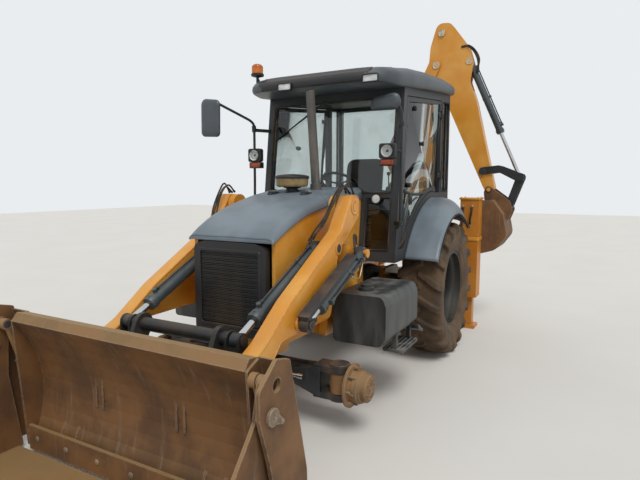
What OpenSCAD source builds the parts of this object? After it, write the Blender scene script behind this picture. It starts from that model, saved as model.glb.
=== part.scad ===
// Backhoe loader with a clam shell loader bucket, a side shift backhoe and no front wheels.
// Millimetres. The rear axle line is y = 0 inside place(), the machine faces -Y,
// its own left side is +X, and the ground is z = 0.

/* [Wheels and axles] */
// Radius of a rear tyre over its lugs
rear_tyre_r = 700; // [680:5:720]
// Width of a rear tyre
rear_tyre_w = 430; // [400:10:440]
// Distance from the centre line to a rear tyre's mid plane
rear_track = 858; // [850:1:870]
// Radius of a rear rim's flange
rear_rim_r = 380; // [370:1:390]
// Height of the tread lugs
lug_h = 38; // [25:1:45]
// Distance between the axles
wheelbase = 2180; // [2150:5:2200]
// Height of the bare front hubs
front_hub_z = 375; // [365:1:385]
// Distance from the centre line to a kingpin
kingpin_x = 770; // [765:1:780]
// Lean of each front spindle, down towards its end, in degrees
front_camber = 1; // [0.5:0.1:2]

/* [Frame] */
// Distance from the centre line to a rail's outer face
rail_x = 340; // [335:1:345]
// Height of a chassis rail
rail_h = 200; // [180:5:210]
// Height of the rails' underside
rail_z = 600; // [590:1:610]

/* [Loader] */
// Inner face of a loader arm
arm_in = 545; // [543:1:548]
// Thickness of a loader arm
arm_w = 110; // [100:1:115]
// Outer radius of a loader cylinder barrel
loader_barrel_r = 45; // [40:1:48]
// Radius of a loader cylinder rod
loader_rod_r = 25; // [20:1:30]
// Radius of the loader's pins
pin_r = 25; // [22:1:28]

/* [Loader bucket] */
// Width over the bucket's side plates
bucket_w = 2210; // [2190:2:2230]
// Thickness of the bucket's plates
bucket_t = 20; // [16:1:22]
// How far the jaw's cutting edge lies ahead of the rear axle
jaw_reach = 4300; // [4200:10:4400]

/* [Cab] */
// Width over the cab's sides
cab_w = 1480; // [1460:5:1500]
// Height of the cab's floor
cab_floor_z = 1080; // [1070:1:1090]
// Height of the roof's underside over the rear axle
roof_z = 2760; // [2750:1:2775]
// Thickness of the cab's posts and panels
cab_t = 60; // [50:1:70]
// Thickness of the panes
glass_t = 6; // [5:1:8]

/* [Backhoe] */
// Distance from the rear axle to the swing axis
swing_y = 1550; // [1545:1:1560]
// Place of the swing axis across the machine, at rest
swing_x = -550; // [-570:5:-530]
// Width of the dipper box
dipper_w = 150; // [140:2:156]
// Width of the backhoe bucket
rear_bucket_w = 560; // [500:10:600]
// Outer width of a stabiliser column
column_w = 220; // [210:1:230]
// Outer depth of a stabiliser column
column_d = 200; // [190:1:210]

/* [Hidden] */
$fn = 48;

// Radial play of a pin in its bore
play = 0.1;
// Gap between a piece and the one that carries it
seat = 0.3;
// Side gap between an eye and its lugs
side_gap = 5;
// Middle of the footprint box across the machine, between the right mirror and the folded digger
mid_x = 190;
// Middle of the footprint box along the machine
mid_y = (-jaw_reach + swing_y + rear_bucket_w / 2) / 2;

// Loader pivots as [y, z]
arm_pin = [-1700, 1620];
lift_arm_pin = [-2570, 890];
lift_base_pin = [-1720, 1260];
tilt_base_pin = [-1980, 1320];
tilt_pin = [-2964, 857];
lever_pin = [-2979, 560];
bucket_pin = [-3160, 312];
link_pin = [-3154, 521];
jaw_pin = [-3550, 765];
jaw_arm_pin = [-3503, 896];
jaw_base_pin = [-3300, 220];

// Places across the machine, left side
lift_x = 720;
tilt_x = 462;
arm_out = arm_in + arm_w;
link_x = 320;
link_w = 35;
lever_in = 405;
lever_out = 490;
lever_t = 16;
bucket_x = bucket_w / 2;
recess_x = 925;
jaw_x = bucket_x - 65;
jaw_cyl_x = 985;

// Backhoe pivots as [x, z], in the plane y = swing_y
boom_pin = [-300, 780];
boom_cyl_base = [-560, 1080];
boom_cyl_pin = [-140, 1978];
dipper_cyl_base = [-290, 2200];
dipper_pin = [378, 3359];
dipper_cyl_pin = [439, 3766];
digger_cyl_base = [803, 3373];
guide_pin = [1021, 1957];
digger_rod_pin = [1473, 1868];
digger_pin = [1109, 1731];
digger_link_pin = [1356, 1525];
hoe_pin_r = 25;
hoe_t = 20;

grille_y = -2400;
block_top = 1330;
cab_front = -1000;
cab_rear = 820;
cab_lean = 0.126;
roof_rise = 0.10;
waist_z = 1720;
door_rear = 440;
column_x = 1080;
column_y0 = 980;
column_top = 1620;
column_foot = 400;
shift_rail_y = column_y0 + 120;
shift_rail_d = 100;
shift_rail_h = 120;
upper_rail_z = 980;
lower_rail_z = 380;
axle_tube_r = 105;

orange = [0.85, 0.55, 0.16];
dark = [0.16, 0.17, 0.18];
grey = [0.33, 0.35, 0.37];
steel = [0.42, 0.33, 0.26];
chrome = [0.8, 0.8, 0.82];
black = [0.08, 0.08, 0.09];
rubber = [0.2, 0.18, 0.16];
glass = [0.6, 0.7, 0.72, 0.35];

module place() translate([-mid_x, -mid_y, 0]) children();
module both() { children(); mirror([1, 0, 0]) children(); }

// Point lists: rows of [a, b, corner radius] become an outline with round corners
function unit(v) = v / norm(v);
function corner(p, q, s, r0, n = 5) =
    r0 <= 0 ? [q] :
    let (u = unit(p - q), v = unit(s - q), half = acos(u * v) / 2,
         d = min(r0 / tan(half), norm(p - q) * 0.48, norm(s - q) * 0.48), r = d * tan(half),
         c = q + unit(u + v) * r / sin(half), a = q + u * d, b = q + v * d,
         a0 = atan2(a[1] - c[1], a[0] - c[0]), a1 = atan2(b[1] - c[1], b[0] - c[0]),
         turn = a1 - a0 > 180 ? a1 - a0 - 360 : a1 - a0 < -180 ? a1 - a0 + 360 : a1 - a0)
    [for (i = [0:n]) c + r * [cos(a0 + turn * i / n), sin(a0 + turn * i / n)]];
function outline(rows, n = 5) = let (k = len(rows)) [for (i = [0:k - 1])
    let (p = rows[(i + k - 1) % k], q = rows[i], s = rows[(i + 1) % k])
    each corner([p[0], p[1]], [q[0], q[1]], [s[0], s[1]], q[2], n)];
// Centre of the circle through three points
function centre3(a, b, c) =
    let (d = 2 * (a[0] * (b[1] - c[1]) + b[0] * (c[1] - a[1]) + c[0] * (a[1] - b[1])))
    [((a * a) * (b[1] - c[1]) + (b * b) * (c[1] - a[1]) + (c * c) * (a[1] - b[1])) / d,
     ((a * a) * (c[0] - b[0]) + (b * b) * (a[0] - c[0]) + (c * c) * (b[0] - a[0])) / d];
// Points of the arc through a, b, c, shifted outwards by off
function arc3(a, b, c, off = 0, n = 10) =
    let (m = centre3(a, b, c), r = norm(a - m) + off,
         t0 = atan2(a[1] - m[1], a[0] - m[0]), t2 = atan2(c[1] - m[1], c[0] - m[0]),
         tb = atan2(b[1] - m[1], b[0] - m[0]),
         d = t2 - t0 > 180 ? t2 - t0 - 360 : t2 - t0 < -180 ? t2 - t0 + 360 : t2 - t0)
    [for (i = [0:n]) m + r * [cos(t0 + d * i / n), sin(t0 + d * i / n)]];

// Value at t on a line of [t, value] knots
function look(t, k, i = 0) = i >= len(k) - 2 || t <= k[i + 1][0] ?
    k[i][1] + (k[i + 1][1] - k[i][1]) * (t - k[i][0]) / (k[i + 1][0] - k[i][0]) : look(t, k, i + 1);
// Skin through closed rings of equally many points, closed at both ends
module loft(rings) {
    n = len(rings[0]);
    m = len(rings);
    polyhedron(points = [for (r = rings) each r], convexity = 8, faces = concat(
        [[for (i = [0:n - 1]) i]], [[for (i = [n - 1:-1:0]) (m - 1) * n + i]],
        [for (j = [0:m - 2], i = [0:n - 1]) let (a = j * n + i, b = j * n + (i + 1) % n)
            each [[a, a + n, b], [b, a + n, b + n]]]));
}
module box(x0, x1, y0, y1, z0, z1) translate([x0, y0, z0]) cube([x1 - x0, y1 - y0, z1 - z0]);
// Outline of [y, z] points between x0 and x1
module slab_x(x0, x1, pts) translate([x0, 0, 0]) rotate([90, 0, 90]) linear_extrude(x1 - x0) polygon(pts);
// Outline of [x, z] points between y0 and y1
module slab_y(y0, y1, pts) translate([0, y1, 0]) rotate([90, 0, 0]) linear_extrude(y1 - y0) polygon(pts);
// Outline of [x, y] points between z0 and z1
module slab_z(z0, z1, pts) translate([0, 0, z0]) linear_extrude(z1 - z0) polygon(pts);
module rod_x(p, x0, x1, r) translate([x0, p[0], p[1]]) rotate([0, 90, 0]) cylinder(h = x1 - x0, r = r);
module rod_y(p, y0, y1, r) translate([p[0], y0, p[1]]) rotate([-90, 0, 0]) cylinder(h = y1 - y0, r = r);
module rod_z(p, z0, z1, r) translate([p[0], p[1], z0]) cylinder(h = z1 - z0, r = r);
// Cylinder in the plane x, from a towards b, both [y, z], from distance d0 to d1
module shaft_yz(x, a, b, d0, d1, r) translate([x, a[0], a[1]])
    rotate([atan2(-(b[0] - a[0]), b[1] - a[1]), 0, 0]) translate([0, 0, d0]) cylinder(h = d1 - d0, r = r);
// Cylinder in the plane y, from a towards b, both [x, z], from distance d0 to d1
module shaft_xz(y, a, b, d0, d1, r) translate([a[0], y, a[1]])
    rotate([0, atan2(b[0] - a[0], b[1] - a[1]), 0]) translate([0, 0, d0]) cylinder(h = d1 - d0, r = r);
// Straight bar with round ends between two pins, as an outline
function bar_pts(a, b, ra, rb, n = 8) =
    let (t = atan2(b[1] - a[1], b[0] - a[0]))
    concat([for (i = [0:n]) a + ra * [cos(t + 90 + 180 * i / n), sin(t + 90 + 180 * i / n)]],
           [for (i = [0:n]) b + rb * [cos(t - 90 + 180 * i / n), sin(t - 90 + 180 * i / n)]]);

// A loader cylinder's barrel, hinged at a, with its gland at distance gland_d towards b
module barrel_yz(x, a, b, gland_d, r, rod, eye_w, eye_r, hole) difference() {
    union() {
        rod_x(a, x - eye_w / 2, x + eye_w / 2, eye_r);
        shaft_yz(x, a, b, eye_r * 0.6, gland_d, r);
        shaft_yz(x, a, b, gland_d - 50, gland_d + 12, r + 4);
    }
    rod_x(a, x - eye_w, x + eye_w, hole);
    shaft_yz(x, a, b, eye_r + 25, gland_d + 20, rod + play);
}
module rod_yz(x, a, b, from_d, r, eye_w, eye_r, hole) difference() {
    union() {
        shaft_yz(x, a, b, from_d, norm(b - a) - hole, r);
        rod_x(b, x - eye_w / 2, x + eye_w / 2, eye_r);
    }
    rod_x(b, x - eye_w, x + eye_w, hole);
}
module barrel_xz(y, a, b, gland_d, r, rod, eye_w, eye_r, hole) difference() {
    union() {
        rod_y(a, y - eye_w / 2, y + eye_w / 2, eye_r);
        shaft_xz(y, a, b, eye_r * 0.6, gland_d, r);
        shaft_xz(y, a, b, gland_d - 50, gland_d + 12, r + 4);
    }
    rod_y(a, y - eye_w, y + eye_w, hole);
    shaft_xz(y, a, b, eye_r + 25, gland_d + 20, rod + play);
}
module rod_xz(y, a, b, from_d, r, eye_w, eye_r, hole) difference() {
    union() {
        shaft_xz(y, a, b, from_d, norm(b - a) - hole, r);
        rod_y(b, y - eye_w / 2, y + eye_w / 2, eye_r);
    }
    rod_y(b, y - eye_w, y + eye_w, hole);
}

module chassis() color(orange) {
    both() {
        difference() {
            union() {
                box(rail_x - 60, rail_x, grille_y + seat, column_y0 - seat, rail_z, rail_z + rail_h);
                slab_x(rail_x - 60, rail_x, [[-260, rail_z + rail_h - 10], [-180, rail_z + rail_h + 80],
                    [180, rail_z + rail_h + 80], [260, rail_z + rail_h - 10]]);
            }
            rod_x([0, rear_tyre_r], rail_x - 70, rail_x + 10, axle_tube_r + 2 * seat);
        }
        for (y = [cab_front + 120, cab_rear - 180])
            box(rail_x - 100, rail_x, y, y + 80, rail_z + rail_h - 1, cab_floor_z - seat);
    }
    for (y = [grille_y + seat, -1500, -600, 500]) box(-rail_x + 60, rail_x - 60, y, y + 80, rail_z + 20, rail_z + rail_h - 20);
    box(-rail_x + 60, rail_x - 60, -wheelbase - 90, -wheelbase + 90, rail_z - 80, rail_z + 60);
}

module loader_towers() color(orange) both() {
    difference() {
        union() {
            slab_x(470, 530, outline([[-1960, 620, 20], [-1790, 1180, 60], [-1790, arm_pin[1] + 90, 90],
                [-1610, arm_pin[1] + 90, 90], [-1560, 1200, 60], [-1300, 620, 20]]));
            box(rail_x + seat, 470, -1900, -1340, rail_z + 20, rail_z + 160);
            // Bracket that carries the lift cylinder's foot, behind the arm
            slab_x(530, lift_x - loader_barrel_r - side_gap, outline([[lift_base_pin[0] - 60, lift_base_pin[1] - 70, 20],
                [lift_base_pin[0] - 60, lift_base_pin[1] + 60, 50], [lift_base_pin[0] + 60, lift_base_pin[1] + 60, 50],
                [lift_base_pin[0] + 90, lift_base_pin[1] - 160, 20], [lift_base_pin[0] + 20, lift_base_pin[1] - 160, 20]]));
            rod_x(lift_base_pin, lift_x - 60, lift_x + loader_barrel_r + 18, pin_r);
            rod_x(lift_base_pin, lift_x + loader_barrel_r + side_gap, lift_x + loader_barrel_r + 18, pin_r + 10);
        }
        rod_x(arm_pin, 460, 540, pin_r + 10);
    }
    rod_x(arm_pin, 465, arm_out + 8, pin_r + 10);
}

module engine_block() color([0.3, 0.3, 0.3]) box(-250, 250, -2080, -1100, rail_z + rail_h - 20 + seat, block_top);

module grille() color(black) {
    difference() {
        slab_y(grille_y - 60, grille_y, outline([[-325, 690, 20], [-325, 1350, 50], [-230, 1380 - seat, 60], [230, 1380 - seat, 60],
            [325, 1350, 50], [325, 690, 20]]));
        box(-265, 265, grille_y - 70, grille_y - 25, 760, 1310);
    }
    for (z = [790:36:1300]) box(-264.9, 264.9, grille_y - 50, grille_y - 24.9, z, z + 12);
}

// Bonnet: crown and side edge heights along the machine, as [y, z]
crown = [[-2450, 1418], [-2380, 1478], [-2250, 1548], [-2100, 1606], [-1980, 1642], [-1700, 1706], [-1440, 1746], [-1000, 1768]];
side_edge = [[-2450, 1380], [-2380, 1408], [-2250, 1465], [-2100, 1520], [-1980, 1556], [-1700, 1604], [-1440, 1634], [-1000, 1652]];
hood_w = 385;
hood_skin = 18;
hood_split = -1640;
hinge_z = 1728;
module hood_sides() color(orange) both()
    slab_x(rail_x + seat, rail_x + 30, concat([[grille_y + seat, rail_z + 160 + seat]],
        [for (y = [grille_y + seat, for (k = side_edge) if (k[0] > grille_y && k[0] < -1100) k[0]]) [y, look(y, side_edge) - seat]],
        [[front_y(1652) - seat, look(-940, side_edge) - seat], [front_y(cab_floor_z) - seat, cab_floor_z],
            [cab_front - seat, rail_z + 160 + seat]]));
// Ring of the bonnet's shell at y, inset by g
function hood_half(y, g) = let (w = hood_w - g, e = look(y, side_edge), c = look(y, crown) - g)
    [[w, e], [w - 4, e + (c - e) * 0.45], [w - 26, e + (c - e) * 0.8], [w - 70, c - (c - e) * 0.05], [w * 0.5, c - 2], [0, c]];
function flip(p) = [for (i = [len(p) - 2:-1:0]) [-p[i][0], p[i][1]]];
function hood_ring(y) = let (a = hood_half(y, 0), b = hood_half(y, hood_skin),
    all = concat(a, flip(a), [for (i = [len(b) * 2 - 2:-1:0]) let (f = concat(b, flip(b))) f[i]]))
    [for (q = all) [q[0], y, q[1]]];
module hood_cowl() color(dark) {
    both() {
        for (x = [130, 190]) {
            rod_x([hood_split, hinge_z], x, x + 10, 12);
            box(x, x + 10, hood_split + 6, hood_split + 60, hinge_z - 24, hinge_z + 4);
            rod_x([hood_split + 6, hinge_z], x, x + 10, 6);
        }
        rod_x([hood_split, hinge_z], 135, 195, 6);
    }
    difference() {
        loft(concat([[for (q = hood_ring(-930)) [q[0], front_y(q[2]) - seat, q[2]]]],
            [for (y = [-1040, -1150, -1300, -1440, -1540, hood_split + 5]) hood_ring(y)]));
        rod_z(cleaner_at, 1600, 1800, 60);
        rod_z(stack_foot, 1600, 1800, 65);
    }
}
module hood_lid() color(dark) {
    loft([for (y = [hood_split - 4, -1700, -1780, -1880, -1980, -2040, -2100, -2170, -2250, -2320, -2380, -2415, -2450])
        hood_ring(y)]);
    slab_y(-2450, -2436, [for (q = concat(hood_half(-2450, 6), flip(hood_half(-2450, 6)))) q]);
    both() difference() {
        union() {
            rod_x([hood_split, hinge_z], 142, 188, 12);
            box(142, 188, hood_split - 40, hood_split, hinge_z - 32, hinge_z - 4);
        }
        rod_x([hood_split, hinge_z], 130, 200, 6 + play);
    }
}

// Exhaust: a straight foot through the bonnet, then a pipe that leans to the machine's right, cut off obliquely
stack_foot = [86, -1300];
stack_bend = 1790;
stack_top = [26, 2636];
module exhaust_stack() color([0.3, 0.24, 0.2]) difference() {
    union() {
        rod_z(stack_foot, block_top + seat, stack_bend + 10, 52);
        shaft_xz(stack_foot[1], [stack_foot[0], stack_bend - 20], stack_top, 0, 875, 40);
    }
    shaft_xz(stack_foot[1], [stack_foot[0], stack_bend - 20], stack_top, 60, 900, 36);
    slab_y(stack_foot[1] - 60, stack_foot[1] + 60, [[-60, 2660], [-60, 2600], [100, 2640], [100, 2700]]);
}

cleaner_at = [-45, -1500];
module pre_cleaner() color([0.75, 0.55, 0.2]) {
    rod_z(cleaner_at, block_top + seat, 1770, 50);
    translate([cleaner_at[0], cleaner_at[1], 1755]) rotate_extrude($fn = 64) polygon([[0, 0], [92, 0], [96, 18], [132, 24],
        [140, 32], [145, 96], [150, 98], [150, 118], [140, 124], [60, 134], [0, 136]]);
}

// Cab walls with the window and door openings cut out, and an arch over each tyre
tyre_gap = 130;
arch_r = rear_tyre_r + tyre_gap + seat;
function front_y(z) = cab_front + cab_lean * (z - cab_floor_z);
function top_z(y) = roof_z + roof_rise * y;
cab_top = let (z = (roof_z + roof_rise * (cab_front - cab_lean * cab_floor_z)) / (1 - roof_rise * cab_lean)) [front_y(z), z];
// Side profile inset by g at the front, top and rear, from height z0
function side_rows(g, z0) = [[front_y(z0) + g, z0], [front_y(cab_top[1] - g) + g, top_z(front_y(cab_top[1]) + g) - g],
    [cab_rear - g, top_z(cab_rear - g) - g], [cab_rear - g, z0]];
function quarter_pts(g) = [[door_rear + 70 + g, waist_z + g], [door_rear + 70 + g, top_z(door_rear + 70) - 90 - g],
    [cab_rear - 60 - g, top_z(cab_rear - 60) - 90 - g], [cab_rear - 60 - g, waist_z + g]];
module cab_shell() color(dark) {
    h = cab_w / 2;
    difference() {
        union() {
            difference() {
                slab_x(-h, h, side_rows(0, cab_floor_z));
                slab_x(-h + cab_t, h - cab_t, side_rows(cab_t, cab_floor_z + 40));
            }
            both() intersection() {
                rod_x([0, rear_tyre_r], h - 140, h, arch_r + 22);
                slab_x(h - 150, h, side_rows(0, cab_floor_z));
            }
        }
        both() rod_x([0, rear_tyre_r], h - 120, h + 5, arch_r);
        // Windscreen, the panes beside the bonnet, and the rear window
        box(-h + 75, h - 75, cab_front - 50, -500, waist_z, cab_top[1] - 90);
        both() box(hood_w + 40, h - 75, cab_front - 50, -500, cab_floor_z + 110, waist_z - 50);
        box(-h + 75, h - 75, cab_rear - 100, cab_rear + 50, waist_z, top_z(cab_rear) - 110);
        both() slab_x(h - cab_t - 5, h + 5, door_pts(0));
        both() slab_x(h - cab_t - 5, h + 5, quarter_pts(0));
    }
    both() for (z = door_hinges) {
        rod_z([h + 10, door_rear], z - 20, z + 80, 6);
        for (k = [-20, 66]) {
            rod_z([h + 10, door_rear], z + k, z + k + 14, 9.5);
            box(h - 5, h + 10, door_rear + 1, door_rear + 40, z + k, z + k + 14);
        }
    }
}
door_hinges = [roof_z - 890, roof_z - 220];

// Roof: half width, and its thickness over the cab, along the machine as [y, value]
roof_half = [[-1270, 560], [-1250, 640], [-1190, 690], [-1140, 715], [-1000, 760], [-700, 800], [-300, 825], [300, 835],
    [700, 820], [860, 780], [940, 700], [965, 600]];
roof_thick = [[-1270, 60], [-1250, 95], [-1190, 110], [-1140, 150], [-1000, 172], [-700, 190], [-300, 188], [300, 170],
    [700, 132], [860, 100], [940, 64], [965, 34]];
roof_front = 2664;
function roof_ring(y) = let (w = look(y, roof_half), t = look(y, roof_thick), v = max(top_z(y), roof_front * roof_z / 2760) + seat,
    a = [[w - 70, v], [w - 24, v + 4], [w - 4, v + t * 0.2], [w, v + t * 0.45], [w - 12, v + t * 0.68], [w - 50, v + t * 0.86],
        [w - 120, v + t * 0.96], [w * 0.5, v + t], [0, v + t]])
    [for (q = concat(a, flip(a))) [q[0], y, q[1]]];
module cab_roof() color(dark)
    loft([for (y = [965, 940, 905, 860, 790, 700, 500, 300, 0, -300, -500, -700, -850, -1000, -1070, -1140, -1160, -1190,
        -1225, -1250, -1270]) roof_ring(y)]);

module cab_glass() color(glass) {
    h = cab_w / 2;
    intersection() {
        slab_x(-h, h, [[front_y(cab_floor_z) + 25, cab_floor_z], [front_y(cab_top[1]) + 25, cab_top[1]],
            [front_y(cab_top[1]) + 25 + glass_t, cab_top[1]], [front_y(cab_floor_z) + 25 + glass_t, cab_floor_z]]);
        union() {
            box(-h + 75 + seat, h - 75 - seat, cab_front - 100, -500, waist_z + seat, cab_top[1] - 90 - seat);
            both() box(hood_w + 40 + seat, h - 75 - seat, cab_front - 100, -500, cab_floor_z + 110 + seat, waist_z - 50 - seat);
        }
    }
    box(-h + 75 + seat, h - 75 - seat, cab_rear - 35, cab_rear - 35 + glass_t, waist_z + seat, top_z(cab_rear) - 110 - seat);
    both() slab_x(h - 30, h - 30 + glass_t, quarter_pts(seat));
}

// Door frame with its pane, hinged at its rear edge
door_gap = 6;
door_sill = cab_floor_z + 110;
// Height of the fender's inner edge over the tyre, against the angle from the rear, and the door's edge outside it
fender_edge = [[40, 200], [55, 228], [66, 262], [75, 280], [85, 258], [98, 205], [117, 152], [135, 132], [155, 128]];
function fender_r(a) = rear_tyre_r + look(a, fender_edge);
function door_r(a) = fender_r(a) + 60;
function wheel_at(a, r) = [r * cos(a), rear_tyre_r + r * sin(a)];
function door_pts(g) = concat([[front_y(door_sill) + 80 + g, door_sill + g],
    [front_y(cab_top[1]) + 75 + g, top_z(front_y(cab_top[1]) + 75) - 70 - g],
    [door_rear - g, top_z(door_rear) - 70 - g], [door_rear - g, wheel_at(75, door_r(75) + g)[1]]],
    [for (a = [75:6:138]) if (wheel_at(a, door_r(a) + g)[1] > door_sill + g + 20) wheel_at(a, door_r(a) + g)],
    [[-sqrt(pow(door_r(142) + g, 2) - pow(door_sill + g - rear_tyre_r, 2)), door_sill + g]]);
// Rail between the upper and the lower pane, sagging in the middle
smile = [[-772, 1738], [-389, 1667], [230, 1767]];
module door_solid() {
    h = cab_w / 2;
    difference() {
        slab_x(h - 35, h, door_pts(door_gap));
        slab_x(h - 40, h + 5, door_pts(door_gap + 45));
    }
    slab_x(h - 22, h - 22 + glass_t, door_pts(door_gap + 30));
    intersection() {
        slab_x(h - 30, h - 5, concat(arc3(smile[0], smile[1], smile[2]), arc3(smile[2], smile[1], smile[0], 42)));
        slab_x(h - 40, h + 5, door_pts(door_gap + 30));
    }
    for (z = door_hinges) difference() {
        union() {
            rod_z([h + 10, door_rear], z, z + 60, 9.5);
            box(h - 5, h + 10, door_rear - 50, door_rear, z, z + 60);
        }
        rod_z([h + 10, door_rear], z - 5, z + 65, 6 + play);
        box(h - 60, h + seat, door_rear - 5, door_rear + 60, z - 5, z + 65);
    }
}
module door_left() color(black) door_solid();
module door_right() color(black) mirror([1, 0, 0]) door_solid();

module operator_seat() color(black) {
    box(-180, 180, -420, -60, cab_floor_z + 40.3, cab_floor_z + 380);
    box(-240, 240, -520, -20, cab_floor_z + 375, cab_floor_z + 500);
    slab_x(-230, 230, outline([[-100, cab_floor_z + 490, 0], [-60, cab_floor_z + 1080, 40], [30, cab_floor_z + 1080, 40],
        [-30, cab_floor_z + 490, 0]]));
}

module controls() color(black) {
    slab_x(-90, 90, outline([[-840, cab_floor_z + 40.3, 0], [-780, cab_floor_z + 620, 40], [-690, cab_floor_z + 620, 40],
        [-700, cab_floor_z + 40.3, 0]]));
    translate([0, -640, cab_floor_z + 720]) rotate([-35, 0, 0]) {
        rotate_extrude() translate([190, 0]) circle(r = 14);
        for (a = [60:120:300]) rotate([0, 0, a]) box(0, 190, -10, 10, -8, 8);
        translate([0, 0, -150]) cylinder(h = 164, r = 28);
    }
}

// Fender: its crown falls from the inner edge to a lip over the tyre's outer side
fender_lip = rear_tyre_r + 100;
fender_skin = 16;
function fender_half(a, g) = let (r = fender_r(a) - g, l = fender_lip, x = cab_w / 2 + seat, w = column_x - 14 - x)
    [[x, r], [x + w * 0.36, r], [x + w * 0.6, l + (r - l) * 0.88], [x + w * 0.8, l + (r - l) * 0.6],
     [x + w * 0.95 - g, l + (r - l) * 0.22 + 4], [x + w - g, l - 14 + g / 2]];
function fender_ring(a) = [for (q = concat(fender_half(a, 0), [for (i = [5:-1:0]) fender_half(a, fender_skin)[i]]))
    [q[0], wheel_at(a, q[1])[0], wheel_at(a, q[1])[1]]];
module fenders() color(grey) both() loft([for (a = [152:-6:50]) fender_ring(a)]);

// Fuel tank with its cap, the two steps and their hangers, and the sill plate before the door
tank_y0 = -1960;
tank_y1 = -1215;
module tank_pads() for (y = [tank_y0 + 140, tank_y1 - 280]) box(530 + seat, 605, y, y + 80, 680, 760);
module step_rails(y0, y1) {
    slab_z(470, 492, outline([[880, y0, 20], [1052, y0, 30], [1052, y1, 30], [880, y1, 20]]));
    for (y = [y0 + 20, y1 - 50]) box(960, 992, y, y + 30, 490, 610);
}
module fuel_tank() color(black) {
    slab_y(tank_y0, tank_y1, outline([[600, 600, 40], [600, 978, 30], [1000, 978, 50], [1030, 900, 60], [1030, 660, 60], [980, 600, 50]]));
    tank_pads();
    rod_z([790, -1760], 970, 1004, 62);
    rod_z([790, -1760], 1000, 1026, 46);
    step_rails(-1640, -1240);
    slab_x(880, 1052, outline([[tank_y1 - 30, 602, 0], [tank_y1 - 10, 566, 0], [tank_y1 + 110, 515, 10], [tank_y1 + 110, 537, 10],
        [tank_y1 + 20, 586, 0], [tank_y1 - 2, 602, 0]]));
}
module battery_box() color(black) mirror([1, 0, 0]) {
    slab_y(tank_y0, tank_y1, outline([[600, 600, 20], [600, 978, 20], [1030, 978, 30], [1030, 600, 30]]));
    tank_pads();
    step_rails(-1640, -1240);
}

// Mirror arms on the front posts. The left head is folded in, the right one looks back.
pole_y = -1010;
arm_foot = [[1408, 2380], [1480, 2400]];
module mirror_pole(x, z0, z1) {
    rod_z([x, pole_y], z0, z1, 14);
    for (z = [z0 + 20, z1 - 60]) {
        rod_z([x, pole_y], z, z + 36, 22);
        slab_z(z, z + 30, [[x - 12, pole_y], [x + 12, pole_y], [735, front_y(z) - seat], [705, front_y(z) - seat]]);
    }
}
module mirrors() color(black) {
    mirror_pole(790, arm_foot[0][0], arm_foot[0][1]);
    shaft_xz(pole_y, [790, 2370], [740, 2500], 0, 140, 12);
    slab_y(pole_y - 60, pole_y - 10, outline([[500, 2445, 40], [520, 2560, 50], [770, 2600, 60], [790, 2500, 50], [740, 2450, 40]]));
    mirror([1, 0, 0]) {
        mirror_pole(800, arm_foot[1][0], arm_foot[1][1]);
        shaft_xz(pole_y, [800, 2380], [1060, 2560], 0, 320, 12);
        rod_z([1060, pole_y], 2180, 2570, 12);
        slab_y(pole_y - 50, pole_y - 6, outline([[930, 2170, 40], [930, 2600, 50], [1165, 2600, 50], [1165, 2170, 40]]));
    }
}

// Work lamps with their indicators on the mirror poles, and two in the roof's front edge
module lamps() color([0.9, 0.9, 0.85]) both() {
    slab_y(-1150, -1070, outline([[640, 2020, 15], [640, 2150, 15], [795, 2150, 15], [795, 2020, 15]]));
    box(645, 790, -1145, -1075, 1960, 2024);
    box(740, 775, -1072, pole_y - 14 - seat, 2060, 2110);
    box(770, 815, -1045, pole_y - 14 - seat, 2060, 2110);
    box(430, 550, -1296, -1270 - seat, roof_z - 78, roof_z - 30);
}

module rear_axle() color(dark) {
    rod_x([0, rear_tyre_r], -600, 600, axle_tube_r);
    rod_y([0, rear_tyre_r], -185, 185, 165);
    rod_y([0, rear_tyre_r], -230, 185, 70);
    both() {
        rod_x([0, rear_tyre_r], 560, 775, 190);
        rod_x([0, rear_tyre_r], 775, rear_track + 40, 90);
    }
}

module rear_tyre() color(rubber) translate([rear_track, 0, rear_tyre_r]) rotate([0, 90, 0]) {
    w = rear_tyre_w / 2;
    rotate_extrude($fn = 72) polygon(outline([[rear_rim_r, -w + 60, 10], [rear_tyre_r - 110, -w, 70],
        [rear_tyre_r - lug_h, -w + 60, 40], [rear_tyre_r - lug_h, w - 60, 40], [rear_tyre_r - 110, w, 70],
        [rear_rim_r, w - 60, 10]]));
    for (k = [0:17], s = [-1, 1]) rotate([0, 0, 20 * k + (s > 0 ? 10 : 0)])
        translate([0, 0, s * w / 2 + s * 4]) rotate([s * 32, 0, 0])
            box(rear_tyre_r - lug_h - 14, rear_tyre_r - 4, -26, 26, -w / 2 - 6, w / 2 + 4);
}
module rear_rim() color([0.45, 0.5, 0.55]) translate([rear_track, 0, rear_tyre_r]) rotate([0, 90, 0]) {
    w = rear_tyre_w / 2;
    difference() {
        union() {
            rotate_extrude() polygon([[rear_rim_r - 40, -w + 70], [rear_rim_r - 0.3, -w + 62], [rear_rim_r - 0.3, w - 62],
                [rear_rim_r - 40, w - 70], [rear_rim_r - 60, 60], [rear_rim_r - 60, -40]]);
            translate([0, 0, -60]) cylinder(h = 24, r = rear_rim_r - 50);
        }
        difference() {
            translate([0, 0, -w]) cylinder(h = 2 * w, r = rear_rim_r - 70);
            translate([0, 0, -60]) cylinder(h = 24, r = rear_rim_r);
        }
        translate([0, 0, -80]) cylinder(h = 60, r = 90 + 0.5);
    }
}
module rear_tyre_left() rear_tyre();
module rear_tyre_right() mirror([1, 0, 0]) rear_tyre();
module rear_rim_left() rear_rim();
module rear_rim_right() mirror([1, 0, 0]) rear_rim();

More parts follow.
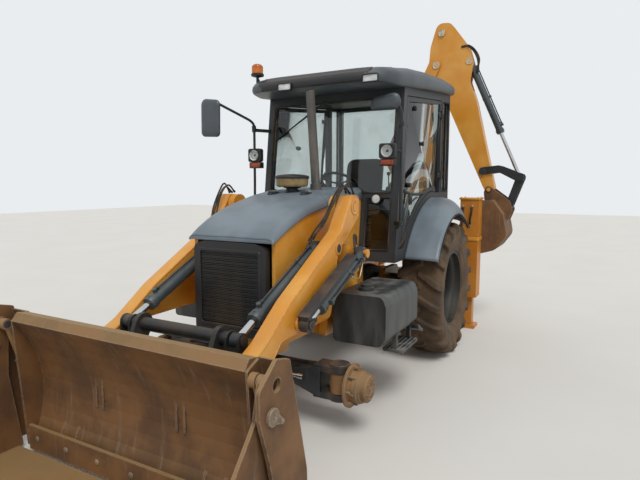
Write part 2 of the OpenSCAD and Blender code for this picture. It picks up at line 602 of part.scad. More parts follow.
module front_axle() color(dark) {
    y = -wheelbase;
    box(-650, 650, y - 65, y + 65, 345, 470);
    slab_y(y - 60, y + 60, [[-180, 460], [-150, rail_z - 80 - seat], [150, rail_z - 80 - seat], [180, 460]]);
    both() difference() {
        union() {
            box(590, kingpin_x, y - 75, y + 75, 262, 502);
            rod_z([kingpin_x, y], 255, 510, 78);
        }
        box(kingpin_x - 122, kingpin_x + 100, y - 100, y + 100, 305, 460);
        rod_z([kingpin_x, y], 200, 560, 22 + play);
    }
}
// Leans what is drawn level at the left front hub by the camber, about the middle of its kingpin
module cambered() translate([kingpin_x, -wheelbase, front_hub_z]) rotate([0, front_camber, 0])
    translate([-kingpin_x, wheelbase, -front_hub_z]) children();
module knuckle_solid() color(steel) {
    y = -wheelbase;
    rod_z([kingpin_x, y], 245, 520, 22);
    rod_z([kingpin_x, y], 310, 455, 72);
    cambered() {
        rod_x([y, front_hub_z], kingpin_x, 850, 60);
        rod_x([y, front_hub_z], 840, 960, 45);
    }
    box(kingpin_x - 20, kingpin_x + 20, y + 40, y + 180, 360, 400);
    rod_z([kingpin_x, y + 180], 343, 400, 25);
    rod_z([kingpin_x, y + 180], 285, 400, 14);
    rod_z([kingpin_x, y + 180], 280, 293, 24);
}
module knuckle_left() knuckle_solid();
module knuckle_right() mirror([1, 0, 0]) knuckle_solid();
module hub_solid() color([0.5, 0.42, 0.33]) cambered() difference() {
    y = -wheelbase;
    union() {
        rod_x([y, front_hub_z], 856, 880, 158);
        rod_x([y, front_hub_z], 880, 965, 112);
        rod_x([y, front_hub_z], 965, 1012, 98);
        for (a = [0:45:315]) rod_x([y + 135 * cos(a), front_hub_z + 135 * sin(a)], 870, 915, 9);
    }
    rod_x([y, front_hub_z], 830, 965, 45 + play);
}
module hub_left() hub_solid();
module hub_right() mirror([1, 0, 0]) hub_solid();
module tie_rod() color(dark) {
    y = -wheelbase + 180;
    difference() {
        union() {
            rod_x([y, 318], -kingpin_x, kingpin_x, 20);
            both() rod_z([kingpin_x, y], 298, 338, 34);
        }
        both() rod_z([kingpin_x, y], 280, 360, 14 + play);
    }
}

module loader_arms() color(orange) both() difference() {
    union() {
        slab_x(arm_in, arm_out, outline([[-1600, 1700, 40], [-1780, 1722, 60], [-3085, 895, 60], [-3110, 780, 60],
            [bucket_pin[0] - 45, bucket_pin[1] + 40, 40], [bucket_pin[0] - 35, bucket_pin[1] - 60, 50],
            [bucket_pin[0] + 55, bucket_pin[1] - 50, 50], [-2915, 540, 120], [-2850, 735, 60], [-2770, 818, 60],
            [-2110, 822, 40], [-1950, 1380, 200], [-1610, 1560, 40]]));
        rod_x(tilt_base_pin, tilt_x - loader_barrel_r - 18, arm_in, pin_r);
        rod_x(tilt_base_pin, tilt_x - loader_barrel_r - 18, tilt_x - loader_barrel_r - side_gap, pin_r + 12);
        rod_x(tilt_base_pin, tilt_x + loader_barrel_r + side_gap, arm_in, pin_r + 25);
        rod_x(lever_pin, lever_in - 8, arm_in, pin_r);
        rod_x(lever_pin, lever_in - 20, lever_in - 8, pin_r + 12);
        rod_x(lever_pin, lever_out + lever_t + side_gap, arm_in, pin_r + 20);
        rod_x(lift_arm_pin, arm_out, arm_out + 20, pin_r + 20);
    }
    rod_x(arm_pin, arm_in - 10, arm_out + 10, pin_r + 10 + play);
    rod_x(bucket_pin, arm_in - 10, arm_out + 10, pin_r + play);
}

module tilt_levers() color(dark) {
    rod_x(tilt_pin, -lever_in - lever_t, lever_in + lever_t, 45);
    both() difference() {
        union() {
            slab_x(lever_in, lever_in + lever_t, bar_pts(lever_pin, tilt_pin, 60, 55));
            slab_x(lever_out, lever_out + lever_t, bar_pts(lever_pin, tilt_pin, 60, 50));
            rod_x(lever_pin, lever_in, lever_out + lever_t, 50);
            rod_x(tilt_pin, lever_out + lever_t, lever_out + lever_t + 10, 35);
        }
        rod_x(lever_pin, lever_in - 10, lever_out + lever_t + 10, pin_r + play);
    }
}

module bucket_links() color(dark) both() difference() {
    slab_x(link_x, link_x + link_w, bar_pts(tilt_pin, link_pin, 75, 45));
    rod_x(tilt_pin, link_x - 5, link_x + link_w + 5, 45 + play);
    rod_x(link_pin, link_x - 5, link_x + link_w + 5, pin_r + play);
}

module tilt_barrels() color(dark) both()
    barrel_yz(tilt_x, tilt_base_pin, tilt_pin, 888, loader_barrel_r, loader_rod_r, 56, 48, pin_r + play);
module tilt_rods() color(chrome) both()
    rod_yz(tilt_x, tilt_base_pin, tilt_pin, 400, loader_rod_r, 50, 45, pin_r + play);
module lift_barrels() color(dark) both()
    barrel_yz(lift_x, lift_base_pin, lift_arm_pin, 740, loader_barrel_r, loader_rod_r, 60, 50, pin_r + play);
module lift_rods() color(chrome) both()
    rod_yz(lift_x, lift_base_pin, lift_arm_pin, 200, loader_rod_r, 56, 48, pin_r + play);
// Channel that locks the raised arms, carried on each lift rod's eye
module safety_struts() color(orange) both()
    translate([lift_x, lift_base_pin[0], lift_base_pin[1]])
        rotate([atan2(lift_base_pin[0] - lift_arm_pin[0], lift_arm_pin[1] - lift_base_pin[1]), 0, 0]) {
            box(-38, 45, 74, 82, 150, 950);
            for (x = [-38, 37]) box(x, x + 8, 56, 82, 150, 950);
            box(-26, 28, 48 + seat, 80, 900, 950);
        }

// Back half of the clam bucket: curved blade, side plates, recesses and ears
blade_a = [-3495, 930];
blade_b = [-3315, 480];
blade_c = [-3420, 60];
module bucket_back() color(steel) {
    slab_x(-recess_x, recess_x, concat(arc3(blade_a, blade_b, blade_c), arc3(blade_c, blade_b, blade_a, bucket_t)));
    slab_x(-recess_x, recess_x, [[-3400, 965], [-3466, 975], [-3504, 925], [-3495, 915], [-3440, 900]]);
    box(-recess_x, recess_x, -3436, -3412, 35, 200);
    both() {
        // Outer side plate with the pin bosses
        difference() {
            slab_x(bucket_x - bucket_t, bucket_x, outline([[-3390, 985, 20], [-3500, 1015, 20], [-3640, 905, 40],
                [-3640, 775, 40], [-3565, 545, 60], [-3450, 60, 10], [-3300, 60, 30], [-3240, 150, 30], [-3250, 365, 30]]));
            rod_x(jaw_arm_pin, bucket_x - 40, bucket_x + 20, 32);
        }
        // Inner web and back of the recess
        slab_x(recess_x, recess_x + bucket_t - 5, outline([[-3400, 965, 10], [-3500, 925, 10], [-3440, 60, 10],
            [-3280, 60, 30], [-3235, 150, 30], [-3250, 365, 30]]));
        slab_x(recess_x, bucket_x, [[-3400, 965], [-3385, 965], [-3235, 365], [-3225, 150], [-3285, 60],
            [-3300, 72], [-3243, 155], [-3253, 365]]);
        rod_x(jaw_pin, jaw_x - 15, bucket_x + 8, pin_r);
        rod_x(jaw_base_pin, recess_x, jaw_cyl_x + 40, pin_r);
        // Ears for the arm pin and for the link
        for (x = [arm_in - side_gap - 20, arm_out + side_gap]) difference() {
            slab_x(x, x + 20, outline([[bucket_pin[0] + 60, bucket_pin[1] - 60, 55], [bucket_pin[0] + 60, bucket_pin[1] + 60, 55],
                [-3300, 560, 5], [-3312, 560, 0], [-3312, 300, 0], [-3400, 130, 5], [-3340, 110, 20]]));
        }
        rod_x(bucket_pin, arm_in - side_gap - 28, arm_out + side_gap + 28, pin_r);
        for (x = [link_x - side_gap - 15, link_x + link_w + side_gap])
            slab_x(x, x + 15, outline([[link_pin[0] + 45, link_pin[1] - 45, 40], [link_pin[0] + 45, link_pin[1] + 45, 40],
                [-3330, 660, 5], [-3330, 400, 5]]));
    }
}

module bucket_jaw() color(steel) {
    slab_x(-jaw_x, jaw_x, [[-3440, 0], [-jaw_reach + 160, 0], [-jaw_reach, 8], [-jaw_reach, 14],
        [-jaw_reach + 160, 26], [-3440, 26]]);
    both() {
        difference() {
            slab_x(jaw_x, jaw_x + bucket_t, outline([[-jaw_reach + 40, 0, 5], [-jaw_reach + 60, 60, 10], [-3790, 530, 60],
                [-3610, 745, 50], [-3565, 935, 40], [-3455, 935, 40], [-3480, 540, 60], [-3410, 30, 10], [-3440, 0, 0]]));
            rod_x(jaw_pin, jaw_x - 20, jaw_x + 60, pin_r + play);
        }
        rod_x(jaw_arm_pin, jaw_cyl_x + 24, jaw_x, pin_r + 8);
    }
}
module jaw_barrels() color(dark) both()
    barrel_yz(jaw_cyl_x, jaw_base_pin, jaw_arm_pin, 430, 32, 18, 40, 36, pin_r + play);
module jaw_rods() color(chrome) both()
    rod_yz(jaw_cyl_x, jaw_base_pin, jaw_arm_pin, 215, 18, 36, 36, pin_r + play);

module rear_frame() color(orange) {
    for (z = [upper_rail_z, lower_rail_z])
        box(-column_x + column_w, column_x - column_w, shift_rail_y, shift_rail_y + shift_rail_d, z, z + shift_rail_h);
    both() {
        difference() {
            box(column_x - column_w, column_x, column_y0, column_y0 + column_d + 20, column_foot, column_top);
            box(column_x - column_w + 14, column_x - 14, column_y0 + 14, column_y0 + column_d + 6, column_foot - 10, column_top - 14);
        }
        box(rail_x - 60, rail_x, column_y0, shift_rail_y, lower_rail_z, upper_rail_z + shift_rail_h);
    }
}
module stabiliser_solid() color(orange) {
    cx = column_x - column_w / 2;
    cy = column_y0 + (column_d + 20) / 2;
    box(cx - 55, cx + 55, cy - 55, cy + 55, 40, 1100);
    box(cx - 95.5, cx + 95.5, cy - 95.5, cy + 95.5, 760, 1060);
    box(cx - 100, cx + 100, cy - 100, cy + 100, 0, 40);
}
module stabiliser_left() stabiliser_solid();
module stabiliser_right() mirror([1, 0, 0]) stabiliser_solid();

// Carriage that slides across the rear frame, with the ears of the swing post
module shift_carriage() color(orange) {
    y0 = shift_rail_y + shift_rail_d + 0.3;
    box(swing_x - 230, swing_x + 230, y0, y0 + 40, lower_rail_z - 20, upper_rail_z + shift_rail_h + 25);
    box(swing_x - 230, swing_x + 230, y0 - 60, y0 + 40, upper_rail_z + shift_rail_h + 0.3, upper_rail_z + shift_rail_h + 25);
    box(swing_x - 230, swing_x + 230, y0 - 60, y0 + 40, lower_rail_z - 25, lower_rail_z - 0.3);
    for (z = [460, 930]) difference() {
        slab_z(z, z + 50, outline([[swing_x - 75, y0 + 30, 0], [swing_x - 75, swing_y + 75, 74],
            [swing_x + 75, swing_y + 75, 74], [swing_x + 75, y0 + 30, 0]]));
        rod_z([swing_x, swing_y], z - 10, z + 60, 35 + play);
    }
}
module swing_post() color(orange) {
    w = dipper_w / 2 + 30;
    rod_z([swing_x, swing_y], 455, 990, 35);
    rod_z([swing_x, swing_y], 515, 925, 75);
    box(swing_x, boom_pin[0] - 90, swing_y - 110, swing_y + 110, 560, 880);
    for (s = [-1, 1]) translate([0, swing_y + s * (w + side_gap + hoe_t / 2), 0])
        slab_y(-hoe_t / 2, hoe_t / 2, outline([[boom_pin[0] + 65, boom_pin[1] - 65, 60], [boom_pin[0] + 65, boom_pin[1] + 65, 60],
            [boom_cyl_base[0] + 90, boom_cyl_base[1] + 60, 50], [boom_cyl_base[0] - 50, boom_cyl_base[1] + 60, 50],
            [boom_cyl_base[0] - 50, boom_cyl_base[1] - 60, 50], [swing_x + 92, 1000, 0], [swing_x + 92, 700, 0],
            [swing_x + 110, 600, 20]]));
    rod_y(boom_pin, swing_y - w - side_gap - hoe_t - 8, swing_y + w + side_gap + hoe_t + 8, hoe_pin_r + 5);
    rod_y(boom_cyl_base, swing_y - w - side_gap - hoe_t, swing_y + w + side_gap + hoe_t, hoe_pin_r);
}

module boom() color(orange) {
    w = dipper_w / 2 + 30;
    f = dipper_w / 2 + side_gap;
    difference() {
        union() {
            slab_y(swing_y - w, swing_y + w, outline([[boom_pin[0] - 75, boom_pin[1] - 70, 65], [boom_pin[0] + 75, boom_pin[1] - 70, 65],
                [40, 1900, 300], [300, 3070, 40], [190, 3070, 30], [-15, 2640, 100], [-120, 2250, 200], [-190, 1800, 200]]));
            for (s = [-1, 1]) translate([0, swing_y + s * (f + hoe_t / 2), 0])
                slab_y(-hoe_t / 2, hoe_t / 2, outline([[40, 2600, 20], [190, 2600, 20], [300, 3060, 30],
                    [dipper_pin[0] + 90, dipper_pin[1] + 60, 80], [dipper_pin[0] - 70, dipper_pin[1] + 90, 80], [120, 3060, 60]]));
            // Lugs of the boom cylinder's rod and the dipper cylinder's foot
            for (s = [-1, 1]) translate([0, swing_y + s * (w - hoe_t / 2), 0])
                slab_y(-hoe_t / 2, hoe_t / 2, outline([[-60, 1850, 5], [boom_cyl_pin[0] - 70, boom_cyl_pin[1] - 60, 40],
                    [dipper_cyl_base[0] - 60, dipper_cyl_base[1] - 20, 50], [dipper_cyl_base[0] - 30, dipper_cyl_base[1] + 70, 40], [-40, 2450, 5]]));
        }
        // Space for both cylinder ends between the lugs
        slab_y(swing_y - 45, swing_y + 45, [[-400, 1700], [-178, 1700], [-60, 2060], [-40, 2480], [-400, 2480]]);
        slab_y(swing_y - 34, swing_y + 34, [[-420, 1280], [-262, 1280], [-92, 1600], [0, 1900], [-20, 2080], [-200, 2080]]);
        slab_y(swing_y - 58, swing_y + 58, [[-420, 1130], [-285, 1130], [-262, 1200], [-262, 1290], [-420, 1400]]);
        rod_y(boom_pin, swing_y - w - 10, swing_y + w + 10, hoe_pin_r + 5 + play);
        rod_y(dipper_pin, swing_y - w - 30, swing_y + w + 30, hoe_pin_r + play);
    }
    rod_y(dipper_cyl_base, swing_y - w, swing_y + w, hoe_pin_r);
}
module boom_barrel() color(dark)
    barrel_xz(swing_y, boom_cyl_base, boom_cyl_pin, 790, 50, 28, 70, 50, hoe_pin_r + play);
module boom_rod() color(chrome)
    rod_xz(swing_y, boom_cyl_base, boom_cyl_pin, 200, 28, 60, 48, hoe_pin_r + play);

module dipper() color(orange) {
    w = dipper_w / 2;
    difference() {
        slab_y(swing_y - w, swing_y + w, outline([[dipper_pin[0] - 110, dipper_pin[1] - 60, 100],
            [290, 3600, 200], [dipper_cyl_pin[0] - 60, dipper_cyl_pin[1] + 130, 90], [dipper_cyl_pin[0] + 110, dipper_cyl_pin[1] + 120, 110],
            [790, 3560, 150], [digger_cyl_base[0] + 55, digger_cyl_base[1] - 30, 60], [820, 3120, 60],
            [910, 2860, 100], [digger_pin[0] + 65, digger_pin[1] + 10, 60], [digger_pin[0] - 20, digger_pin[1] - 75, 60],
            [digger_pin[0] - 85, digger_pin[1] + 40, 60], [560, 2790, 300]]));
        slab_y(swing_y - 57, swing_y + 57, [[150, 3230], [275, 3290], [345, 3410], [500, 3640], [590, 3760], [590, 4000], [150, 4000]]);
        slab_y(swing_y - 51, swing_y + 51, [[730, 3440], [730, 3000], [1100, 3000], [1100, 3600], [760, 3600]]);
    }
    rod_y(dipper_pin, swing_y - w - 33, swing_y + w + 33, hoe_pin_r);
    rod_y(digger_cyl_base, swing_y - w - 8, swing_y + w + 8, hoe_pin_r);
    for (s = [-1, 1]) translate([0, swing_y + s * (w + 1), 0]) rod_y(dipper_cyl_pin, -7, 7, 45);
    rod_y(guide_pin, swing_y - w - 28, swing_y + w + 28, hoe_pin_r);
    rod_y(digger_pin, swing_y - w - 60, swing_y + w + 60, hoe_pin_r);
}
module dipper_barrel() color(dark)
    barrel_xz(swing_y, dipper_cyl_base, dipper_cyl_pin, 1000, 48, 27, 66, 48, hoe_pin_r + play);
module dipper_rod() color(chrome)
    rod_xz(swing_y, dipper_cyl_base, dipper_cyl_pin, 850, 27, 50, 45, hoe_pin_r + play);
module digger_barrel() color(dark)
    barrel_xz(swing_y, digger_cyl_base, digger_rod_pin, 1000, 42, 24, 66, 45, hoe_pin_r + play);
module digger_rod() color(chrome)
    rod_xz(swing_y, digger_cyl_base, digger_rod_pin, 700, 24, 50, 42, hoe_pin_r + play);

module guide_links() color(dark) {
    w = dipper_w / 2 + side_gap;
    for (s = [-1, 1]) {
        difference() {
            translate([0, swing_y + s * (w + 8), 0]) slab_y(-8, 8, outline([[guide_pin[0] - 50, guide_pin[1] - 45, 40],
                [guide_pin[0] - 45, guide_pin[1] + 55, 45], [1223, 2040, 90], [digger_rod_pin[0] + 55, digger_rod_pin[1] + 50, 45],
                [digger_rod_pin[0] + 45, digger_rod_pin[1] - 55, 45], [digger_rod_pin[0] - 60, digger_rod_pin[1] - 20, 40], [1223, 1950, 120]]));
            rod_y(guide_pin, swing_y - w - 60, swing_y + w + 60, hoe_pin_r + play);
        }
        translate([0, swing_y + s * (w + 8), 0]) rod_y(digger_rod_pin, -34, 34, hoe_pin_r);
    }
}
module digger_link() color(dark) {
    w = dipper_w / 2 - 24;
    difference() {
        union() {
            for (s = [-1, 1]) translate([0, swing_y + s * (w + 9), 0])
                slab_y(-9, 9, bar_pts(digger_rod_pin, digger_link_pin, 50, 45));
            rod_y(digger_link_pin, swing_y - w - 9, swing_y + w + 9, 45);
        }
        rod_y(digger_rod_pin, swing_y - 100, swing_y + 100, hoe_pin_r + play);
        rod_y(digger_link_pin, swing_y - 100, swing_y + 100, hoe_pin_r + play);
    }
}
module digger_bucket() color(steel) {
    w = rear_bucket_w / 2;
    e = dipper_w / 2 + side_gap + 22;
    shell = [[1175, 1600], [1300, 1420], [1370, 1170], [1250, 1000], [1040, 920], [800, 890], [560, 960]];
    difference() {
        slab_y(swing_y - w, swing_y + w, outline([[1040, 1600, 10], [1190, 1600, 10], [1320, 1420, 60], [1375, 1160, 120],
            [1240, 970, 150], [1000, 900, 200], [760, 880, 100], [520, 950, 5]]));
        slab_y(swing_y - w + 20, swing_y + w - 20, outline([[900, 1650, 0], [1160, 1650, 0], [1160, 1580, 5], [1290, 1410, 50], [1345, 1170, 110],
            [1225, 1000, 140], [1000, 930, 190], [770, 910, 90], [480, 985, 0], [480, 1100, 0]]));
    }
    for (s = [-1, 1]) difference() {
        translate([0, swing_y + s * (e + 10), 0]) slab_y(-10, 10, outline([[digger_pin[0] - 60, digger_pin[1] - 30, 50],
            [digger_pin[0] - 20, digger_pin[1] + 65, 55], [digger_link_pin[0] + 20, digger_link_pin[1] + 60, 50],
            [digger_link_pin[0] + 50, digger_link_pin[1] - 50, 50], [1340, 1300, 30], [1300, 1420, 0], [1185, 1590, 0], [1060, 1590, 10]]));
        rod_y(digger_pin, swing_y - 200, swing_y + 200, hoe_pin_r + play);
    }
}

place() chassis();
place() loader_towers();
place() engine_block();
place() grille();
place() hood_sides();
place() hood_cowl();
place() hood_lid();
place() exhaust_stack();
place() pre_cleaner();
place() cab_shell();
place() cab_roof();
place() cab_glass();
place() door_left();
place() door_right();
place() operator_seat();
place() controls();
place() fenders();
place() fuel_tank();
place() battery_box();
place() mirrors();
place() lamps();
place() rear_axle();
place() rear_tyre_left();
place() rear_rim_left();
place() rear_tyre_right();
place() rear_rim_right();
place() front_axle();
place() knuckle_left();
place() knuckle_right();
place() hub_left();
place() hub_right();
place() tie_rod();
place() loader_arms();
place() tilt_levers();
place() bucket_links();
place() tilt_barrels();
place() tilt_rods();
place() lift_barrels();
place() lift_rods();
place() safety_struts();
place() bucket_back();
place() bucket_jaw();
place() jaw_barrels();
place() jaw_rods();
place() rear_frame();
place() stabiliser_left();
place() stabiliser_right();
place() shift_carriage();
place() swing_post();
place() boom();
place() boom_barrel();
place() boom_rod();
place() dipper();
place() dipper_barrel();
place() dipper_rod();
place() digger_barrel();
place() digger_rod();
place() guide_links();
place() digger_link();
place() digger_bucket();
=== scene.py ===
import math

import bmesh
import bpy
import numpy as np
from mathutils import Matrix


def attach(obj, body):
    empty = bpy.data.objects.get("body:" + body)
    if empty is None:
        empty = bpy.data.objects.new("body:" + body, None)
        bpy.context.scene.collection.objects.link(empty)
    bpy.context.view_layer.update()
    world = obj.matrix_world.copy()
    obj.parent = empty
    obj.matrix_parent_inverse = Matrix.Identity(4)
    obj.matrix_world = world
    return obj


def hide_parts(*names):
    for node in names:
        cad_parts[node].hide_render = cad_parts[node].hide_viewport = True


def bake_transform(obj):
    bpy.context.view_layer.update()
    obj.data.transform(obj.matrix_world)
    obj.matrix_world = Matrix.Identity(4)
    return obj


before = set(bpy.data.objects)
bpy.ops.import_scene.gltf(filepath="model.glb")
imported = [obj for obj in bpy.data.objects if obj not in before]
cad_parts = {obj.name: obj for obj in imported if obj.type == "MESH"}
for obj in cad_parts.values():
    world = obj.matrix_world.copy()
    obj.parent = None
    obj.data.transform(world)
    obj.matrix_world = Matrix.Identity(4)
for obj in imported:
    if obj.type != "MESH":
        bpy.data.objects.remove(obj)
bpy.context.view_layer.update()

# Places are in millimetres on the machine's own axes: y = 0 at the rear axle, it faces -y, its left is
# +x, the ground is z = 0
ORIGIN = np.array([190.0, -1235.0, 0.0])
# A rear wheel: its middle plane, the height of its axle and its radius
WHEEL_X, WHEEL_Z, WHEEL_R = 858, 700, 700
# A front hub: its kingpin, the axle line and its height
KINGPIN_X, FRONT_Y, HUB_Z = 770, -2180, 375


# Shapes: points and blocks of faces

def unit(v):
    """Each vector divided by its length."""
    v = np.asarray(v, float)
    return v / np.maximum(np.linalg.norm(v, axis=-1, keepdims=True), 1e-12)


def skin(p, loop=False, ring=True, ends=True):
    """Quads between neighbouring rows and columns of a grid of points. ring joins each row's ends, loop
    joins the last row to the first, and ends closes the first and the last row with triangles to their
    middle."""
    p = np.asarray(p, float)
    m, n = p.shape[:2]
    i = np.arange(m if loop else m - 1)[:, None]
    j = np.arange(n if ring else n - 1)[None, :]
    i1, j1 = (i + 1) % m, (j + 1) % n
    quads = np.stack(np.broadcast_arrays(i * n + j, i * n + j1, i1 * n + j1, i1 * n + j), -1).reshape(-1, 4)
    v, blocks = p.reshape(-1, 3), [quads]
    if ends and not loop:
        k = np.arange(n)
        k1 = (k + 1) % n
        first = np.stack([k1, k, np.full(n, m * n)], -1)
        last = np.stack([(m - 1) * n + k, (m - 1) * n + k1, np.full(n, m * n + 1)], -1)
        v = np.vstack([v, p[0].mean(0), p[-1].mean(0)])
        blocks += [first, last]
    return v, blocks


def join(*shapes):
    """Several shapes as one: their points in one row, and each one's faces counted on from where its points
    start."""
    starts = np.cumsum([0] + [len(v) for v, _ in shapes])
    return np.vstack([v for v, _ in shapes]), [b + s
                                               for (_, blocks), s in zip(shapes, starts) for b in blocks]


def flipped(shape):
    """The shape on the other side of the machine: x becomes -x."""
    return shape[0] * [-1, 1, 1], shape[1]


def both(shape):
    """The shape and its mirror image across the machine's middle."""
    return join(shape, flipped(shape))


def many(shape, places):
    """The shape copied to each place, by adding the place to its points."""
    v, blocks = shape
    places = np.asarray(places, float)
    grown = (v[None] + places[:, None]).reshape(-1, 3)
    steps = (np.arange(len(places)) * len(v))[:, None, None]
    return grown, [(b[None] + steps).reshape(-1, b.shape[1]) for b in blocks]


def round_about(shape, centre, axis, count, start=0.0):
    """count copies of the shape, turned by equal shares of a full turn about the axis through centre."""
    v, blocks = shape
    axis = unit(axis)
    a = start + np.arange(count) * 2 * np.pi / count
    d = v - centre
    along = d @ axis
    c, s = np.cos(a)[:, None, None], np.sin(a)[:, None, None]
    turned = d[None] * c + np.cross(axis, d)[None] * s + (along[:, None] * axis)[None] * (1 - c)
    steps = (np.arange(count) * len(v))[:, None, None]
    return (turned + centre).reshape(-1, 3), [(b[None] + steps).reshape(-1, b.shape[1]) for b in blocks]


def outline(rows, n=5):
    """Rows of a, b and a corner radius become an outline: at each corner an arc that touches both sides, on
    a circle whose centre lies on the line that halves the corner."""
    q = np.array([r[:2] for r in rows], float)
    r = np.array([r[2] for r in rows], float)
    to_p, to_s = np.roll(q, 1, 0) - q, np.roll(q, -1, 0) - q
    lp, ls = np.linalg.norm(to_p, axis=1), np.linalg.norm(to_s, axis=1)
    u, v = to_p / lp[:, None], to_s / ls[:, None]
    half = np.arccos(np.clip((u * v).sum(1), -0.9999, 0.9999)) / 2
    d = np.minimum(np.minimum(r / np.tan(half), lp * 0.48), ls * 0.48)
    rad = d * np.tan(half)
    c = q + unit(u + v) * (rad / np.sin(half))[:, None]
    a, b = q + u * d[:, None] - c, q + v * d[:, None] - c
    a0 = np.arctan2(a[:, 1], a[:, 0])
    turn = (np.arctan2(b[:, 1], b[:, 0]) - a0 + np.pi) % (2 * np.pi) - np.pi
    t = a0[:, None] + turn[:, None] * np.linspace(0, 1, n + 1)
    arcs = c[:, None] + rad[:, None, None] * np.stack([np.cos(t), np.sin(t)], -1)
    flat = arcs.reshape(-1, 2)
    keep = np.linalg.norm(flat - np.roll(flat, 1, 0), axis=1) > 1e-4
    return flat[keep]


def bar(a, b, ra, rb):
    """Outline of a straight bar with a round end about each of two points."""
    t = math.atan2(b[1] - a[1], b[0] - a[0])
    k = np.linspace(0, np.pi, 10)
    one = np.array(a) + ra * np.stack([np.cos(t + np.pi / 2 + k), np.sin(t + np.pi / 2 + k)], -1)
    two = np.array(b) + rb * np.stack([np.cos(t - np.pi / 2 + k), np.sin(t - np.pi / 2 + k)], -1)
    return np.vstack([one, two])


def oblong(a0, a1, b0, b1, r, n=5):
    """Outline of a rectangle with round corners."""
    return outline([[a0, b0, r], [a1, b0, r], [a1, b1, r], [a0, b1, r]], n)


def drawn_in(pts, g):
    """The outline moved inwards by g, each point along the mean of its two sides' normals, lengthened at
    sharp corners."""
    e0, e1 = unit(pts - np.roll(pts, 1, 0)), unit(np.roll(pts, -1, 0) - pts)
    n0, n1 = np.stack([-e0[:, 1], e0[:, 0]], -1), np.stack([-e1[:, 1], e1[:, 0]], -1)
    m = n0 + n1
    m = m / np.maximum((m * m).sum(1, keepdims=True) / 2, 0.35)
    area = 0.5 * (pts[:, 0] * np.roll(pts[:, 1], -1) - pts[:, 1] * np.roll(pts[:, 0], -1)).sum()
    return pts + m * g * math.copysign(1, area)


def stand(flat, along, axis):
    """Outlines of (a, b) points at their places along an axis, as points in space: (along, a, b) for x, (a,
    along, b) for y, (a, b, along) for z."""
    flat, along = np.asarray(flat, float), np.broadcast_to(np.asarray(along, float),
                                                           np.asarray(flat).shape[:-1])
    a, b = flat[..., 0], flat[..., 1]
    return np.stack({"x": [along, a, b], "y": [a, along, b], "z": [a, b, along]}[axis], -1)


def slab(pts, lo, hi, axis="x", r=2.0, steps=3):
    """A plate: the outline carried from lo to hi along the axis, its rims rounded by drawing the outline in
    along a quarter circle of radius r. Each face is one polygon."""
    pts = np.asarray(pts, float)
    t = np.linspace(0, np.pi / 2, steps)
    gaps = np.concatenate([r * (1 - np.sin(t)), r * (1 - np.sin(t[::-1]))])
    at = np.concatenate([lo + r * (1 - np.cos(t)), hi - r * (1 - np.cos(t[::-1]))])
    rows = np.stack([drawn_in(pts, g) for g in gaps])
    p = stand(rows, at[:, None], axis)
    v, blocks = skin(p, ends=False)
    n = len(pts)
    caps = np.stack([np.arange(n)[::-1], (len(gaps) - 1) * n + np.arange(n)])
    return v, blocks + [caps]


def block(x0, x1, y0, y1, z0, z1, r=3.0):
    """A box with rounded edges and corners."""
    return slab(oblong(x0, x1, y0, y1, r * 1.2, 3), z0, z1, "z", r)


def frame_ring(outer, inner, lo, hi, axis="x", r=2.0):
    """A flat frame between two outlines of equally many points, its four rims broken by r."""
    rows = [(drawn_in(outer, r), lo), (outer, lo + r), (outer, hi - r), (drawn_in(outer, r), hi),
            (drawn_in(inner, -r), hi), (inner, hi - r), (inner, lo + r), (drawn_in(inner, -r), lo)]
    return skin(np.stack([stand(f, a, axis) for f, a in rows]), loop=True)


def lathe(profile, centre=(0, 0, 0), axis=(0, 0, 1), n=48, closed=False):
    """A turned shape: rows of distance along the axis and radius, each carried round the axis in n steps.
    closed joins the last row to the first."""
    prof = np.asarray(profile, float)
    axis = unit(axis)
    e1 = unit(np.cross(axis, [0.3, 0.5, 0.8] if abs(axis[2]) < 0.5 else [1, 0, 0]))
    e2 = np.cross(axis, e1)
    t = np.linspace(0, 2 * np.pi, n, endpoint=False)[None, :, None]
    spoke = np.cos(t) * e1 + np.sin(t) * e2
    p = np.asarray(centre, float) + prof[:, :1, None] * axis + prof[:, 1:, None] * spoke
    return skin(p, loop=closed)


def curve(points, step=18.0):
    """A smooth path through points: between two of them a cubic whose slope at each is half of the way from
    the point before it to the point after it."""
    p = np.asarray(points, float)
    q = np.vstack([2 * p[0] - p[1], p, 2 * p[-1] - p[-2]])
    n = max(2, int(np.ceil(np.linalg.norm(np.diff(p, axis=0), axis=1).max() / step)))
    t = np.linspace(0, 1, n, endpoint=False)[None, :, None]
    a, b, c, d = (q[i:len(p) - 1 + i, None] for i in range(4))
    s = 0.5 * (2 * b + (c - a) * t + (2 * a - 5 * b + 4 * c - d) * t ** 2
               + (3 * b - a - 3 * c + d) * t ** 3)
    return np.vstack([s.reshape(-1, 3), p[-1:]])


def tube(path, r, n=12):
    """A round tube: at each point of the path a circle of radius r, square to the path. The circles are
    turned from the normal of the plane that the path lies nearest to."""
    p = np.asarray(path, float)
    t = unit(np.gradient(p, axis=0))
    flat = np.linalg.svd(p - p.mean(0), full_matrices=True)[2][2]
    a = unit(np.cross(t, flat))
    b = np.cross(t, a)
    k = np.linspace(0, 2 * np.pi, n, endpoint=False)[None, :, None]
    r = np.broadcast_to(np.asarray(r, float), (len(p),))[:, None, None]
    return skin(p[:, None] + r * (np.cos(k) * a[:, None] + np.sin(k) * b[:, None]))


def hose(points, r):
    """A hose along a smooth path, with a crimped steel sleeve of 1.35 times its radius at each end."""
    p = curve(points, 22.0)
    d = np.concatenate([[0], np.cumsum(np.linalg.norm(np.diff(p, axis=0), axis=1))])
    ends = np.minimum(d, d[-1] - d)
    return tube(p, np.where(ends < 3.2 * r, r * 1.35, r), 10)


